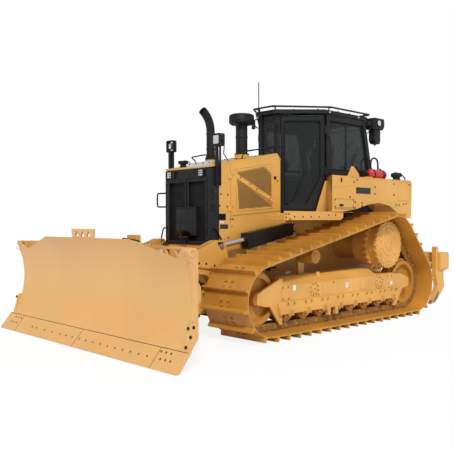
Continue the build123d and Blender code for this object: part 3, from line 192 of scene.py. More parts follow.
def makePaint(name, colour, roughness, metal=0.0, coat=0.0, mottle=0.1, grain=12.0, bump=0.01, shine=0.5):
    paint = bpy.data.materials.new(name)
    paint.use_nodes = True
    tree = paint.node_tree
    add, link = tree.nodes.new, tree.links.new
    shader = tree.nodes["Principled BSDF"]
    shader.inputs["Metallic"].default_value = metal
    shader.inputs["Coat Weight"].default_value = coat
    shader.inputs["Specular IOR Level"].default_value = shine
    shader.inputs["Coat Roughness"].default_value = 0.12
    place = add("ShaderNodeTexCoord")
    cloud = add("ShaderNodeTexNoise")
    cloud.inputs["Scale"].default_value = grain / 8
    cloud.inputs["Detail"].default_value = 5
    speck = add("ShaderNodeTexNoise")
    speck.inputs["Scale"].default_value = grain * 6
    speck.inputs["Detail"].default_value = 3
    link(place.outputs["Object"], cloud.inputs["Vector"])
    link(place.outputs["Object"], speck.inputs["Vector"])
    tint = add("ShaderNodeValToRGB")
    low = tuple(c * (1 - mottle) for c in colour)
    high = tuple(min(1, c * (1 + mottle * 0.5)) for c in colour)
    tint.color_ramp.elements[0].position = 0.3
    tint.color_ramp.elements[0].color = (*low, 1)
    tint.color_ramp.elements[1].position = 0.7
    tint.color_ramp.elements[1].color = (*high, 1)
    link(cloud.outputs["Fac"], tint.inputs["Fac"])
    link(tint.outputs["Color"], shader.inputs["Base Color"])
    gloss = add("ShaderNodeMapRange")
    gloss.inputs["To Min"].default_value = roughness * 0.85
    gloss.inputs["To Max"].default_value = min(1, roughness * 1.2)
    link(speck.outputs["Fac"], gloss.inputs["Value"])
    link(gloss.outputs["Result"], shader.inputs["Roughness"])
    dent = add("ShaderNodeBump")
    dent.inputs["Strength"].default_value = min(1, bump * 12)
    dent.inputs["Distance"].default_value = 0.0012
    link(speck.outputs["Fac"], dent.inputs["Height"])
    soft = add("ShaderNodeBevel")
    soft.samples = 4
    soft.inputs["Radius"].default_value = 0.006
    link(soft.outputs["Normal"], dent.inputs["Normal"])
    link(dent.outputs["Normal"], shader.inputs["Normal"])
    paints[name] = paint
    return paint


for name, values in finishes.items():
    makePaint(name, **values)

glassValues = {"tint": (0.018, 0.022, 0.021), "solid": 0.62, "roughness": 0.03, "shine": 0.5, "haze": 3.0}


def makeGlass(values):
    paint = bpy.data.materials.new("cabGlass")
    paint.use_nodes = True
    tree = paint.node_tree
    shader = tree.nodes["Principled BSDF"]
    shader.inputs["Base Color"].default_value = (*values["tint"], 1)
    shader.inputs["Alpha"].default_value = values["solid"]
    shader.inputs["Specular IOR Level"].default_value = values["shine"]
    haze = tree.nodes.new("ShaderNodeTexNoise")   # faint dust on the panes
    haze.inputs["Scale"].default_value = values["haze"]
    haze.inputs["Detail"].default_value = 6
    spread = tree.nodes.new("ShaderNodeMapRange")
    spread.inputs["To Min"].default_value = values["roughness"]
    spread.inputs["To Max"].default_value = values["roughness"] * 3
    place = tree.nodes.new("ShaderNodeTexCoord")
    tree.links.new(place.outputs["Object"], haze.inputs["Vector"])
    tree.links.new(haze.outputs["Fac"], spread.inputs["Value"])
    tree.links.new(spread.outputs["Result"], shader.inputs["Roughness"])
    paints["cabGlass"] = paint


makeGlass(glassValues)
makePaint("lampLens", (0.66, 0.68, 0.70), 0.14, metal=0.1, coat=0.6, mottle=0.14, grain=60, bump=0.02)
makePaint("lampBright", (0.52, 0.53, 0.55), 0.25, metal=0.1, coat=0.5, mottle=0.2, grain=50, bump=0.03)

paintsOfSlot = {
    "grey_paint": ("grilleGrey", "paleGrey"),
    "black_paint": ("frameBlack", "boltDark", "meshShade", "exhaustBlack", "seamShade"),
    "black_plastic": ("matPlastic", "rubberBlack", "plateBlack"),
    "rod_chrome": ("lampBright",),
    "cab_glass": ("lampLens",),
    "yellow_paint": ("bodyYellow", "bladeYellow", "chassisYellow"),
    "seat_fabric": ("seatCloth",),
    "red_paint": ("bottleRed",),
    "track_steel": ("trackYellow", "chainPaintedShade", "pinSteel", "trackBolt", "wornSteel"),
}
slotOf = {paint: slot for slot, names in paintsOfSlot.items() for paint in names}

nodePaints = {
    "bodyYellow": ["hood_top", "hood_sides", "hood_door_left", "hood_door_right", "fenders", "fuel_tank", "steps",
                   "ripper_barrels", "tilt_barrel"],
    "bladeYellow": ["blade_moldboard", "cutting_edge"],
    "trackYellow": ["track_left", "track_right", "track_rollers", "track_idlers"],
    "chassisYellow": ["main_frame", "track_frames", "final_drives", "cframe_arms", "cframe_nose", "blade_swivel",
                      "ripper_mount", "ripper_lower_links", "ripper_upper_links", "ripper_beam", "ripper_shanks"],
    "frameBlack": ["cab_floor", "cab_posts", "cab_walls", "cab_roof", "roof_rails", "cab_door_left", "cab_door_right",
                   "work_lamps", "grab_handles", "lift_barrels", "angle_barrel_left", "angle_barrel_right",
                   "radiator_guard"],
    "grilleGrey": ["grille", "engine_block"],
    "exhaustBlack": ["exhaust_stack", "precleaner"],
    "matPlastic": ["console", "seat"],
    "rodChrome": ["lift_rods", "angle_rod_left", "angle_rod_right", "tilt_rod", "ripper_rods"],
    "cabGlass": ["cab_windows", "door_glass_left", "door_glass_right"],
    "bottleRed": ["extinguisher"],
}
for paintName, names in nodePaints.items():
    for name in names:
        part = nodes[name]
        part.data.materials.clear()
        part.data.materials.append(paints[paintName])
        for face in part.data.polygons:
            face.material_index = 0


print("stage: tools for building forms")
bevelAngle = 32          # degrees: edges sharper than this are rounded
sharpAngle = 35          # degrees: edges sharper than this stay crisp


def roundPath(points, radius, steps=5, closed=False):
    # the same line with its corners turned into arcs
    points = [Vector(p) for p in points]
    count = len(points)
    out = []
    for k, here in enumerate(points):
        if not closed and k in (0, count - 1):
            out.append(here)
            continue
        before, after = points[k - 1], points[(k + 1) % count]
        inward, outward = (before - here), (after - here)
        reach = min(radius, inward.length * 0.48, outward.length * 0.48)
        start, end = here + inward.normalized() * reach, here + outward.normalized() * reach
        for i in range(steps + 1):
            t = i / steps
            out.append(start.lerp(here, t).lerp(here.lerp(end, t), t))
    return out


class Form:
    # one piece in the making: solids in millimetres, gathered into one mesh
    def __init__(self):
        self.mesh = bmesh.new()

    def skin(self, rings, closed=True, caps=True, loop=False):
        rows = [[self.mesh.verts.new(p) for p in ring] for ring in rings]
        pairs = list(zip(rows, rows[1:])) + ([(rows[-1], rows[0])] if loop else [])
        for low, high in pairs:
            count = len(low)
            for k in range(count if closed else count - 1):
                j = (k + 1) % count
                self.mesh.faces.new((low[k], low[j], high[j], high[k]))
        if caps and not loop:
            self.mesh.faces.new(rows[0][::-1])
            self.mesh.faces.new(rows[-1])
        return self

    def plate(self, outline, axis, low, high):
        spot = {"x": lambda p, d: (d, p[0], p[1]), "y": lambda p, d: (p[0], d, p[1]), "z": lambda p,
                d: (p[0], p[1], d)}[axis]
        return self.skin([[spot(p, low) for p in outline], [spot(p, high) for p in outline]])

    def slab(self, x0, x1, y0, y1, z0, z1):
        return self.plate(rect(x0, y0, x1, y1), "z", z0, z1)

    def frameRing(self, outer, inner, place):
        # a flat ring between two outlines with the same number of points; place takes a point and 0 or 1 for its face
        rings = [[place(p, 0) for p in outer], [place(p, 1) for p in outer],
                 [place(p, 1) for p in inner], [place(p, 0) for p in inner]]
        return self.skin(rings, caps=False, loop=True)

    def turned(self, centre, direction, profile, steps=28):
        axis = Vector(direction).normalized()
        side = axis.orthogonal().normalized()
        other = axis.cross(side)
        rings = []
        for radius, height in profile:
            middle = Vector(centre) + axis * height
            rings.append([middle + (side * math.cos(a) + other * math.sin(a)) * max(radius, 0.05)
                          for a in (math.tau * k / steps for k in range(steps))])
        return self.skin(rings)

    def tube(self, points, radius, steps=10, bend=0, closed=False):
        path = roundPath(points, bend, closed=closed) if bend else [Vector(p) for p in points]
        count = len(path)
        rings = []
        side = None
        for k, here in enumerate(path):
            before = path[k - 1] if closed or k else here
            after = path[(k + 1) % count] if closed or k < count - 1 else here
            along = (after - before).normalized()
            side = along.orthogonal() if side is None else side - along * side.dot(along)
            side = side.normalized()
            other = along.cross(side)
            rings.append([here + (side * math.cos(a) + other * math.sin(a)) * radius
                          for a in (math.tau * i / steps for i in range(steps))])
        return self.skin(rings, loop=closed)

    def bolt(self, place, direction, size):
        # washer and six-sided head
        self.turned(place, direction, [(size * 1.35, -1), (size * 1.35, size * 0.18), (size * 1.2, size * 0.26)], 14)
        self.turned(place, direction, [(size, size * 0.2), (size, size * 0.75), (size * 0.82, size * 0.92)], 6)
        return self

    def bolts(self, places, direction, size):
        for place in places:
            self.bolt(place, direction, size)
        return self

    def done(self, name, paint, body="root", soft=0.0, slot=None, hides=()):
        # one mesh on its body; a slot is worked out from the paint unless it is given, and is then not used
        slot = slot or slotOf.get(paint)
        for corner in self.mesh.verts:
            corner.co *= mmToMetres
        bmesh.ops.recalc_face_normals(self.mesh, faces=self.mesh.faces[:])
        data = bpy.data.meshes.new(name)
        self.mesh.to_mesh(data)
        self.mesh.free()
        data.materials.append(paints[paint])
        data.shade_smooth()
        piece = bpy.data.objects.new(name, data)
        bpy.context.scene.collection.objects.link(piece)
        if soft:
            edges = piece.modifiers.new("softEdges", "BEVEL")
            edges.width = soft * mmToMetres
            edges.segments = 2
            edges.limit_method = "ANGLE"
            edges.angle_limit = math.radians(bevelAngle)
            edges.harden_normals = True
        else:
            data.set_sharp_from_angle(angle=math.radians(sharpAngle))
        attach(piece, body)
        if hides:
            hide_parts(*hides)
        return piece


def box(node):
    low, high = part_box(node)
    return [v * 1000 for v in low], [v * 1000 for v in high]


def sideSpan(turn, near, far):
    # two places on one side of the machine, in rising order
    return sorted((turn * near, turn * far))


def faceSpan(y, turn, inward, outward):
    # from a little inside a face to a little outside it, in rising order
    return sorted((y + turn * inward, y + turn * outward))


def rect(x0, z0, x1, z1):
    return [(x0, z0), (x1, z0), (x1, z1), (x0, z1)]


def ringPoints(centre, radius, count, axis="y", start=0.0):
    # points on a circle round an axis of the machine
    out = []
    for k in range(count):
        a = start + math.tau * k / count
        u, v = radius * math.cos(a), radius * math.sin(a)
        x, y, z = centre
        out.append({"x": (x, y + u, z + v), "y": (x + u, y, z + v), "z": (x + u, y + v, z)}[axis])
    return out


print("stage: nose, lamps and grille")
noseValues = {
    "front": 1712,
    "lampHalf": 52, "lampsAt": (-360, 300), "lampZ": 2093,
    "wirePitch": 15, "wire": 1.6,
    "badge": (-150, 52, 2030, 2128),
}


def makeNose(values):
    front = values["front"]
    boxFront = box("radiator_guard")[1][0]
    # mesh of fine wires in the two openings
    form = Form()
    gLow, gHigh = box("grille")
    face = gHigh[0] + 3
    pitch, wire = values["wirePitch"], values["wire"]
    for side in (-1, 1):
        y0, y1 = sideSpan(side, 30, 372)
        y = y0
        while y < y1:
            form.slab(face, face + 2 * wire, y - wire, y + wire, gLow[2] + 4, gHigh[2] - 4)
            y += pitch
        z = gLow[2] + 10
        while z < gHigh[2] - 4:
            form.slab(face + wire, face + 3 * wire, y0 - 4, y1 + 4, z - wire, z + wire)
            z += pitch
    form.done("grilleWires", "grilleGrey")
    # raised frame round each opening and the rib between them
    form = Form()
    for side in (-1, 1):
        outer = rect(side * 14, gLow[2] - 22, side * 402, gHigh[2] + 16)
        inner = rect(side * 40, gLow[2] + 6, side * 374, gHigh[2] - 10)
        form.frameRing(outer, inner, lambda p, d: (front - 2 + 11 * d, p[0], p[1]))
    form.done("grilleFrames", "frameBlack", soft=2.5)
    form = Form()
    rows = [(y, z) for y in (-388, 388) for z in (1170, 1330, 1500, 1680, 1840, 1975)]
    rows += [(y, z) for y in (-200, -27, 27, 200) for z in (1975, 1172)]
    form.bolts([(front + 8, y, z) for y, z in rows], (1, 0, 0), 8)
    form.bolts([(front, y, z) for y in (-455, 455) for z in (1200, 1400, 1600, 1800, 1960)], (1, 0, 0), 8)
    form.bolts([(front, y, z) for y, z in ((-178, 2030), (132, 2122), (119, 2032), (-190, 2124), (-440, 2020),
                                           (440, 2020))], (1, 0, 0), 9)
    # bolts of the fan's box
    form.bolts([(boxFront, y, z) for y in (-62, 62) for z in (1442, 1485)], (1, 0, 0), 8)
    form.done("noseBolts", "boltDark")
    # ribs of the fan's box: middle seam, lower cowl
    form = Form()
    form.plate([(boxFront - 1, 1342), (boxFront + 5, 1346), (boxFront + 5, 1570), (boxFront - 1, 1574)], "y", -4, 4)
    form.plate([(boxFront - 96, 1268), (boxFront - 78, 1262), (boxFront + 4, 1338), (boxFront + 4, 1350),
                (boxFront - 4, 1352)], "y", -88, 88)
    form.turned((boxFront - 70, 0, 1262), (0, 0, -1), [(78, 0), (78, 26), (60, 44), (20, 50)], 28)
    form.done("fanBoxRibs", "frameBlack", soft=3)
    # bare plate where a maker would put a badge
    form = Form()
    y0, y1, z0, z1 = values["badge"]
    form.plate([(y0 + 10, z0), (y1 - 10, z0), (y1, z0 + 10), (y1, z1 - 10), (y1 - 10, z1), (y0 + 10, z1),
                (y0, z1 - 10), (y0, z0 + 10)], "x", front - 2, front + 5)
    form.done("nosePlate", "matPlastic", soft=2)
    # head lamps: bezel, bowl and a lens of small cells
    bezel, cells, bowl = Form(), Form(), Form()
    half, z = values["lampHalf"], values["lampZ"]
    for y in values["lampsAt"]:
        ring = rect(y - half, z - half, y + half, z + half)
        outer = [p.to_2d() for p in roundPath([(a, b, 0) for a, b in ring], 14, 4, True)]
        inset = half - 9
        ring = rect(y - inset, z - inset, y + inset, z + inset)
        inner = [p.to_2d() for p in roundPath([(a, b, 0) for a, b in ring], 10, 4, True)]
        bezel.frameRing(outer, inner, lambda p, d: (front + 4 + 26 * d, p[0], p[1]))
        bowl.plate(rect(y - inset, z - inset, y + inset, z + inset), "x", front + 14, front + 21)
        step = inset * 2 / 3
        for i in range(3):
            for j in range(3):
                a, b = y - inset + step * (i + 0.5), z - inset + step * (j + 0.5)
                cells.turned((front + 20, a, b), (1, 0, 0), [(step * 0.44, 0), (step * 0.46, 4), (step * 0.32, 8),
                                                             (step * 0.1, 9.5)], 12)
    bezel.done("headLampBezels", "matPlastic", soft=1.5)
    bowl.done("headLampBowls", "lampBright", soft=0.5)
    cells.done("headLampCells", "lampLens")
    # pale lip on top of the nose with four bolts, cap and loop behind it
    form = Form()
    form.plate([(front, 2170), (front + 1, 2184), (1664, 2240), (1600, 2252), (1600, 2212)], "y", -24, 436)
    form.done("noseLip", "paleGrey", soft=4)
    form = Form()
    form.bolts([(1683, y, 2220) for y in (20, 150, 290, 410)], (0.76, 0, 0.65), 8)
    form.done("noseLipBolts", "boltDark")
    form = Form()
    form.turned((1640, -168, 2190), (0, 0, 1), [(48, 0), (48, 24), (40, 30), (40, 44), (58, 50), (62, 58), (62, 82),
                                                (54, 92), (20, 96)], 24)
    for k in range(8):
        a = math.tau * k / 8
        x, y = 1640 + 60 * math.cos(a), -168 + 60 * math.sin(a)
        form.turned((x, y, 2240), (0, 0, 1), [(7, 0), (9, 4), (9, 38), (6, 44)], 8)
    form.tube([(1640, -168, 2280), (1610, -150, 2292), (1560, -120, 2262), (1545, -118, 2220)], 6, 8, 20)
    form.done("coolantCap", "rubberBlack")
    form = Form()
    form.tube([(1475, -100, 2225), (1475, -100, 2286), (1554, -100, 2334), (1279, -100, 2392), (1240, -100, 2270)], 9,
              10, 30)
    form.done("hoodLoop", "frameBlack")


makeNose(noseValues)

lampValues = {"lampX": 1595, "lampsAt": 496, "lampZ": 2515, "postsAt": 470.5, "guardHalf": 84, "lensHalf": 36,
              "depth": 66}


def roundedSquare(halfWide, halfHigh, corner, steps=4):
    ring = [(-halfWide, -halfHigh, 0), (halfWide, -halfHigh, 0), (halfWide, halfHigh, 0), (-halfWide, halfHigh, 0)]
    return [p.to_2d() for p in roundPath(ring, corner, steps, True)]


def makeLamps(values):
    x = values["lampX"]
    posts, guard, lens, body = Form(), Form(), Form(), Form()
    for side in (-1, 1):
        # folded post
        web = sideSpan(side, values["postsAt"], 476)
        posts.plate([(x - 40, 1918), (x + 40, 1918), (x + 36, 2440), (x - 20, 2440)], "y", *web)
        for a, b in ((x - 40, x - 34), (x + 33, x + 39)):
            posts.slab(a, b, *sideSpan(side, values["postsAt"], 505), 1925, 2436)
        posts.slab(x - 30, x + 32, *sideSpan(side, values["postsAt"], 510), 2428, 2440)
    # far lamp: an open guard ring round a small square lamp
    y = -values["lampsAt"]
    middle = values["lampZ"]
    half = values["guardHalf"]
    outer = roundedSquare(half - 6, half, 26)
    inner = roundedSquare(half - 20, half - 14, 18)
    guard.frameRing(outer, inner, lambda p, d: (x - 42 + values["depth"] * d, y + p[0], middle + p[1]))
    for a in (-1, 1):
        guard.tube([(x + 20, y + a * 20, middle - half + 12), (x + 26, y + a * 46, middle - 30),
                    (x + 26, y + a * 44, middle + 30), (x + 20, y + a * 14, middle + half - 14)], 6, 8, 24)
    guard.tube([(x - 10, y, middle - half - 6), (x - 6, y, middle - half + 26)], 12, 10)
    lens.plate([(p[0] + y, p[1] + middle) for p in roundedSquare(values["lensHalf"], values["lensHalf"], 8)], "x",
               x + 6, x + 12)
    body.plate([(p[0] + y, p[1] + middle) for p in roundedSquare(values["lensHalf"] + 7, values["lensHalf"] + 7, 10)],
               "x", x - 30, x + 5)
    for k in range(5):
        z = middle - 30 + 15 * k
        body.slab(x - 44, x - 28, y - 34, y + 34, z - 3, z + 3)
    body.slab(x - 14, x + 2, y - 74, y + 74, middle - 6, middle + 6)
    # near lamp: closed shell seen from outside, with ribs
    y = values["lampsAt"]
    shell = roundedSquare(half - 8, half - 2, 22)
    guard.plate([(y + p[0], middle + p[1]) for p in shell], "x", x - 44, x + 40)
    for k in range(4):
        z = middle - 42 + 28 * k
        guard.slab(x - 34, x + 30, y + half - 10, y + half - 4, z - 5, z + 5)
    guard.plate([(y + p[0] * 0.8, middle + p[1] * 0.8) for p in shell], "x", x + 40, x + 44)
    lens.plate([(y + p[0] * 0.66, middle + p[1] * 0.66) for p in shell], "x", x + 44, x + 47)
    guard.slab(x - 60, x - 44, y + 10, y + 52, middle - 40, middle + 6)
    guard.tube([(x - 52, y + 40, middle - 30), (x - 64, y + 44, middle - 90), (x - 74, y + 14, 2340),
                (x - 180, y - 42, 2296), (x - 200, y - 40, 2262)], 7, 8, 50)
    posts.bolts([(x, side * 476, z) for side in (-1, 1) for z in (1960, 2080)], (0, 1, 0), 10)
    posts.done("lampPosts", "frameBlack", soft=1.5, hides=("work_lamps",))
    guard.done("lampGuards", "matPlastic", soft=3)
    lens.done("lampLenses", "lampLens", soft=1)
    body.done("lampBodies", "matPlastic", soft=2)


makeLamps(lampValues)

rearLampValues = {"y": 680}


def makeRearLamps(values):
    shell, lens = Form(), Form()
    for side in (-1, 1):
        y = side * values["y"]
        # bracket from the roof's corner
        shell.slab(-1572, -1470, *faceSpan(y, side, -36, 30), 2992, 3056)
        shell.plate([(-1560, 2940), (-1560, 3112), (-1590, 3122), (-1850, 3122), (-1868, 3100), (-1868, 2990),
                     (-1820, 2936)], "y", *faceSpan(y, side, -78, 78))
        # two round lamps looking back and one to the side
        for across in (-38, 38):
            shell.turned((-1862, y + across, 3050), (-1, 0, -0.08), [(34, 0), (36, 10), (36, 22), (31, 24)], 22)
            lens.turned((-1884, y + across, 3048), (-1, 0, -0.08), [(30, 0), (28, 3), (16, 5)], 22)
        shell.turned((-1700, y + side * 74, 3040), (0, side, 0), [(52, 0), (56, 8), (56, 18), (48, 22)], 24)
        lens.turned((-1700, y + side * 95, 3040), (0, side, 0), [(46, 0), (42, 3), (24, 5)], 24)
        for k in range(4):
            shell.slab(-1640 + 16 * k, -1634 + 16 * k, *faceSpan(y, side, 76, 84), 2960, 3100)
        # lower unit with its hook
        shell.plate([(-1612, 2932), (-1612, 2760), (-1650, 2712), (-1752, 2706), (-1770, 2760), (-1770, 2932)], "y",
                    *faceSpan(y, side, -52, 66))
        shell.turned((-1766, y + side * 8, 2820), (-1, 0, 0), [(44, 0), (46, 8), (46, 14), (30, 18)], 22)
        shell.tube([(-1650, y + side * 20, 2716), (-1656, y + side * 20, 2690), (-1700, y + side * 20, 2684),
                    (-1712, y + side * 20, 2716)], 7, 8, 14)
        shell.tube([(-1600, y - side * 20, 2950), (-1560, y - side * 30, 2880), (-1520, y - side * 50, 2860),
                    (-1500, y - side * 60, 2800)], 7, 8, 30)
    shell.done("rearLampShells", "matPlastic", soft=4)
    lens.done("rearLampLenses", "lampLens", soft=0.6)


makeRearLamps(rearLampValues)

print("stage: hood")
hoodValues = {
    "side": 470,
    "bolts": [(1529, 1814), (1407, 1807), (1552, 1661), (1417, 1652), (1356, 1485), (1314, 1485), (1540, 1240),
              (1400, 1240)],
    "mesh": [(1249, 2118), (700, 2226), (532, 2120), (529, 1653), (1216, 1604)],
    "brace": [(1262, 2096), (1246, 2030), (528, 1716), (528, 1778)],
    "holePitch": 26, "hole": 7.5,
}


def inside(outline, x, z, margin=0.0):
    # True where a point lies in a convex outline, at least margin from its sides
    signs = []
    for (x0, z0), (x1, z1) in zip(outline, outline[1:] + outline[:1]):
        length = math.hypot(x1 - x0, z1 - z0)
        signs.append(((x1 - x0) * (z - z0) - (z1 - z0) * (x - x0)) / length)
    return all(s > margin for s in signs) or all(s < -margin for s in signs)


def makeHood(values):
    side = values["side"]
    for turn, word in sides:
        def at(x, z, out):
            return (x, turn * (side + out), z)
        body = "hood_door_left" if turn > 0 else "hood_door_right"
        # pressed frame round the mesh, standing a little proud
        outline = values["mesh"]
        middle = Vector((sum(p[0] for p in outline) / 5, sum(p[1] for p in outline) / 5))
        grown = [tuple(middle + (Vector(p) - middle) * 1.05) for p in outline]
        lips = [tuple(middle + (Vector(p) - middle) * 0.985) for p in outline]
        form = Form()
        form.frameRing(grown, lips, lambda p, d: at(p[0], p[1], -1 + 5 * d))
        form.done("hoodMeshFrame" + word, "bodyYellow", body, soft=2)
        # brace across the mesh
        form = Form()
        form.plate([at(x, z, 0)[0::2] for x, z in values["brace"]], "y", *sideSpan(turn, side - 1, side + 9))
        form.done("hoodBrace" + word, "bodyYellow", body, soft=2)
        # perforated sheet: rows of small dark holes, each a shallow cup
        holes = Form()
        rows = 0
        z = 1590
        while z < 2240:
            x = 520 + (values["holePitch"] / 2 if rows % 2 else 0)
            while x < 1260:
                if inside(outline, x, z, 16) and not inside(values["brace"], x, z, -10):
                    holes.turned(at(x, z, -0.5), (0, turn, 0), [(values["hole"], 0), (values["hole"], 1.6)], 6)
                x += values["holePitch"]
            z += values["holePitch"] * 0.5
            rows += 1
        holes.done("hoodMeshHoles" + word, "meshShade", body)
        form = Form()
        form.bolts([at(x, z, 8) for x, z in ((999, 1964), (859, 1899), (1180, 2044), (600, 1776))], (0, turn, 0), 8)
        form.done("hoodBraceBolts" + word, "boltDark", body)
        # latch of the door: recessed cup, paddle, lock
        form = Form()
        form.plate(rect(404, 2004, 516, 2102), "y", *sideSpan(turn, side, side + 3))
        form.done("hoodLatchPlate" + word, "bodyYellow", body, soft=1.5)
        form = Form()
        form.plate(rect(456, 2050, 506, 2094), "y", *sideSpan(turn, side + 2, side + 5))
        form.tube([at(470, 2086, 4), at(470, 2086, 20), at(492, 2058, 20), at(492, 2058, 4)], 5, 8, 8)
        form.turned(at(430, 2030, 3), (0, turn, 0), [(11, 0), (11, 5), (7, 7)], 16)
        form.done("hoodLatch" + word, "boltDark", body, soft=0.6)
        # bolts, vent and two bare plates on the fixed panel
        form = Form()
        form.bolts([at(x, z, 0) for x, z in values["bolts"]], (0, turn, 0), 9)
        form.turned(at(1330, 1390, 0), (0, turn, 0), [(7, 0), (7, 4)], 12)
        form.done("hoodBolts" + word, "boltDark")
        form = Form()
        outer = rect(1447, 1473, 1581, 1556)
        inner = rect(1457, 1483, 1571, 1546)
        form.frameRing(outer, inner, lambda p, d: at(p[0], p[1], -1 + 7 * d))
        for k in range(5):
            z = 1489 + 12 * k
            form.skin([[at(x, z, 1), at(x, z + 4, 1), at(x, z - 2, 8), at(x, z - 6, 8)] for x in (1458, 1570)])
        form.slab(1452, 1576, *sideSpan(turn, side - 1, side + 1.5), 1478, 1552)
        form.done("hoodVent" + word, "rubberBlack", soft=0.8)
        form = Form()
        form.plate(rect(1402, 1358, 1548, 1416), "y", *sideSpan(turn, side - 1, side + 3))
        form.done("hoodPlate" + word, "plateBlack", soft=1.2)
        form = Form()
        form.plate(rect(1481, 1436, 1559, 1452), "y", *sideSpan(turn, side - 1, side + 2))
        form.done("hoodPlateWhite" + word, "plateWhite", soft=0.6)
        # bent bar with its bracket, and the lower bar
        form = Form()
        form.tube([at(1690, 1850, 0), at(1752, 1850, 136), at(1752, 1660, 136), at(1690, 1660, 0)], 11, 12, 34)
        for z in (1660, 1850):
            form.turned(at(1688, z, 0), (0, turn, 0), [(24, 0), (24, 7), (16, 12)], 18)
        # bar on the fender's rear
        form.tube([(-1930, turn * 900, 2105), (-1930, turn * 900, 2240), (-2045, turn * 900, 2240),
                   (-2045, turn * 900, 2105)], 11, 12, 30)
        for x in (-1930, -2045):
            form.turned((x, turn * 900, 2105), (0, 0, 1), [(22, 0), (22, 7), (14, 12)], 18)
        form.tube([at(1780, 1217, 14), at(1741, 1369, 14), at(1639, 1368, 14), at(1540, 1220, 14)], 10, 12, 36)
        form.done("handBars" + word, "frameBlack", hides=("grab_handles",))
        # guard's side: bolts down its edge and at its two hinges
        form = Form()
        form.bolts([at(1688, z, 0) for z in (1180, 1320, 1460, 1600, 1740, 1880, 2020)], (0, turn, 0), 9)
        form.bolts([at(1590, z, 0) for z in (1180, 1320, 1900, 2020)], (0, turn, 0), 8)
        form.done("guardBolts" + word, "boltDark")


makeHood(hoodValues)

stackValues = {"x": 1285, "radius": 58, "collar": 78, "bendStart": 2690, "lean": 35}


def makeStack(values):
    form = Form()
    x = values["x"]
    low, high = box("exhaust_stack")
    foot = low[2]
    radius = values["radius"]
    tip = Vector((high[0] - 26, 0, high[2] - 34))
    start = Vector((x, 0, values["bendStart"]))
    # straight pipe, bend and open, rolled tip
    path = [Vector((x, 0, foot + 4)), Vector((x, 0, foot + 120)), start]
    aim = Vector((math.cos(math.radians(values["lean"])), 0, math.sin(math.radians(values["lean"]))))
    corner = Vector((x, 0, tip.z - (tip.x - x) * aim.z / aim.x))
    for k in range(1, 11):
        t = k / 10
        path.append(start.lerp(corner, t).lerp(corner.lerp(tip, t), t))
    rings = []
    for k, here in enumerate(path):
        along = (path[min(k + 1, len(path) - 1)] - path[max(k - 1, 0)]).normalized()
        if k == len(path) - 1:
            along = aim
        side = Vector((0, 1, 0))
        other = along.cross(side)
        rings.append((here, side, other))
    ring = lambda h, s, o, r: [h + (s * math.cos(a) + o * math.sin(a)) * r
                               for a in (math.tau * i / 28 for i in range(28))]
    rows = [ring(h, s, o, radius) for h, s, o in rings]
    h, s, o = rings[-1]
    rows += [ring(h + aim * 3, s, o, radius - 3), ring(h, s, o, radius - 8)]
    rows += [ring(h2, s2, o2, radius - 8) for h2, s2, o2 in rings[-2:3:-1]]
    form.skin(rows)
    form.turned((x, 0, foot), (0, 0, 1), [(values["collar"], 0), (values["collar"], 30), (values["collar"] - 8, 40),
                                          (radius + 2, 42)], 32)
    for z in (foot + 60, foot + 150, values["bendStart"] - 20):
        form.turned((x, 0, z), (0, 0, 1), [(radius, -9), (radius + 5, -8), (radius + 5, 8), (radius, 9)], 32)
        form.slab(x - 76, x - 58, -6, 6, z - 7, z + 7)
    form.done("exhaustPipe", "exhaustBlack", hides=("exhaust_stack",))


makeStack(stackValues)

cleanerValues = {"x": 680, "stem": 85, "bowl": 183}


def makeCleaner(values):
    low, high = box("precleaner")
    x, r = values["x"], values["bowl"]
    z0, z1 = low[2], high[2]
    form = Form()
    stem = values["stem"]
    form.turned((x, 0, z0), (0, 0, 1), [(stem + 22, 0), (stem + 22, 16), (stem, 22), (stem, 240), (stem + 4, 244),
                                        (stem + 4, 266), (stem, 270), (stem, z1 - z0 - 165)], 40)
    # bowl with its swept lip and a stepped crown
    form.turned((x, 0, z1), (0, 0, 1), [
        (stem - 2, -170), (stem + 28, -164), (r - 20, -150), (r - 4, -138), (r, -120), (r, -52), (r - 3, -46),
        (r - 3, -40),
        (r, -36), (r - 6, -22), (r - 30, -9), (r - 70, -2), (60, 0), (4, 0)], 44)
    for k in range(14):
        a = math.tau * k / 14
        out = Vector((math.cos(a), math.sin(a), 0))
        turn = Vector((-out.y, out.x, 0))
        c = Vector((x, 0, z1 - 156)) + out * (stem + 20)
        form.skin([[c + turn * w + Vector((0, 0, dz)) + out * o for w, dz,
                    o in ((-3, -8, 0), (3, -8, 0), (3, 6, 0), (-3, 6, 0))],
                   [c + out * 50 + turn * (w + 16) + Vector((0, 0, dz)) for w,
                    dz in ((-3, -4), (3, -4), (3, 16), (-3, 16))]])
    form.turned((x + stem + 8, 0, z0 + 255), (1, 0, 0), [(9, -6), (9, 12), (6, 16)], 8)
    form.done("airCleaner", "exhaustBlack", hides=("precleaner",))


makeCleaner(cleanerValues)

hoodTopValues = {
    "front": 1712, "z": 2185, "slope": 0.189, "up": (0.186, 0, 0.98),
    "boltRows": (1330, 1010, 640, 360), "boltsAt": (-400, -240, 240, 400),
    "seams": (1180, 820, 500), "seamHalf": 430,
}


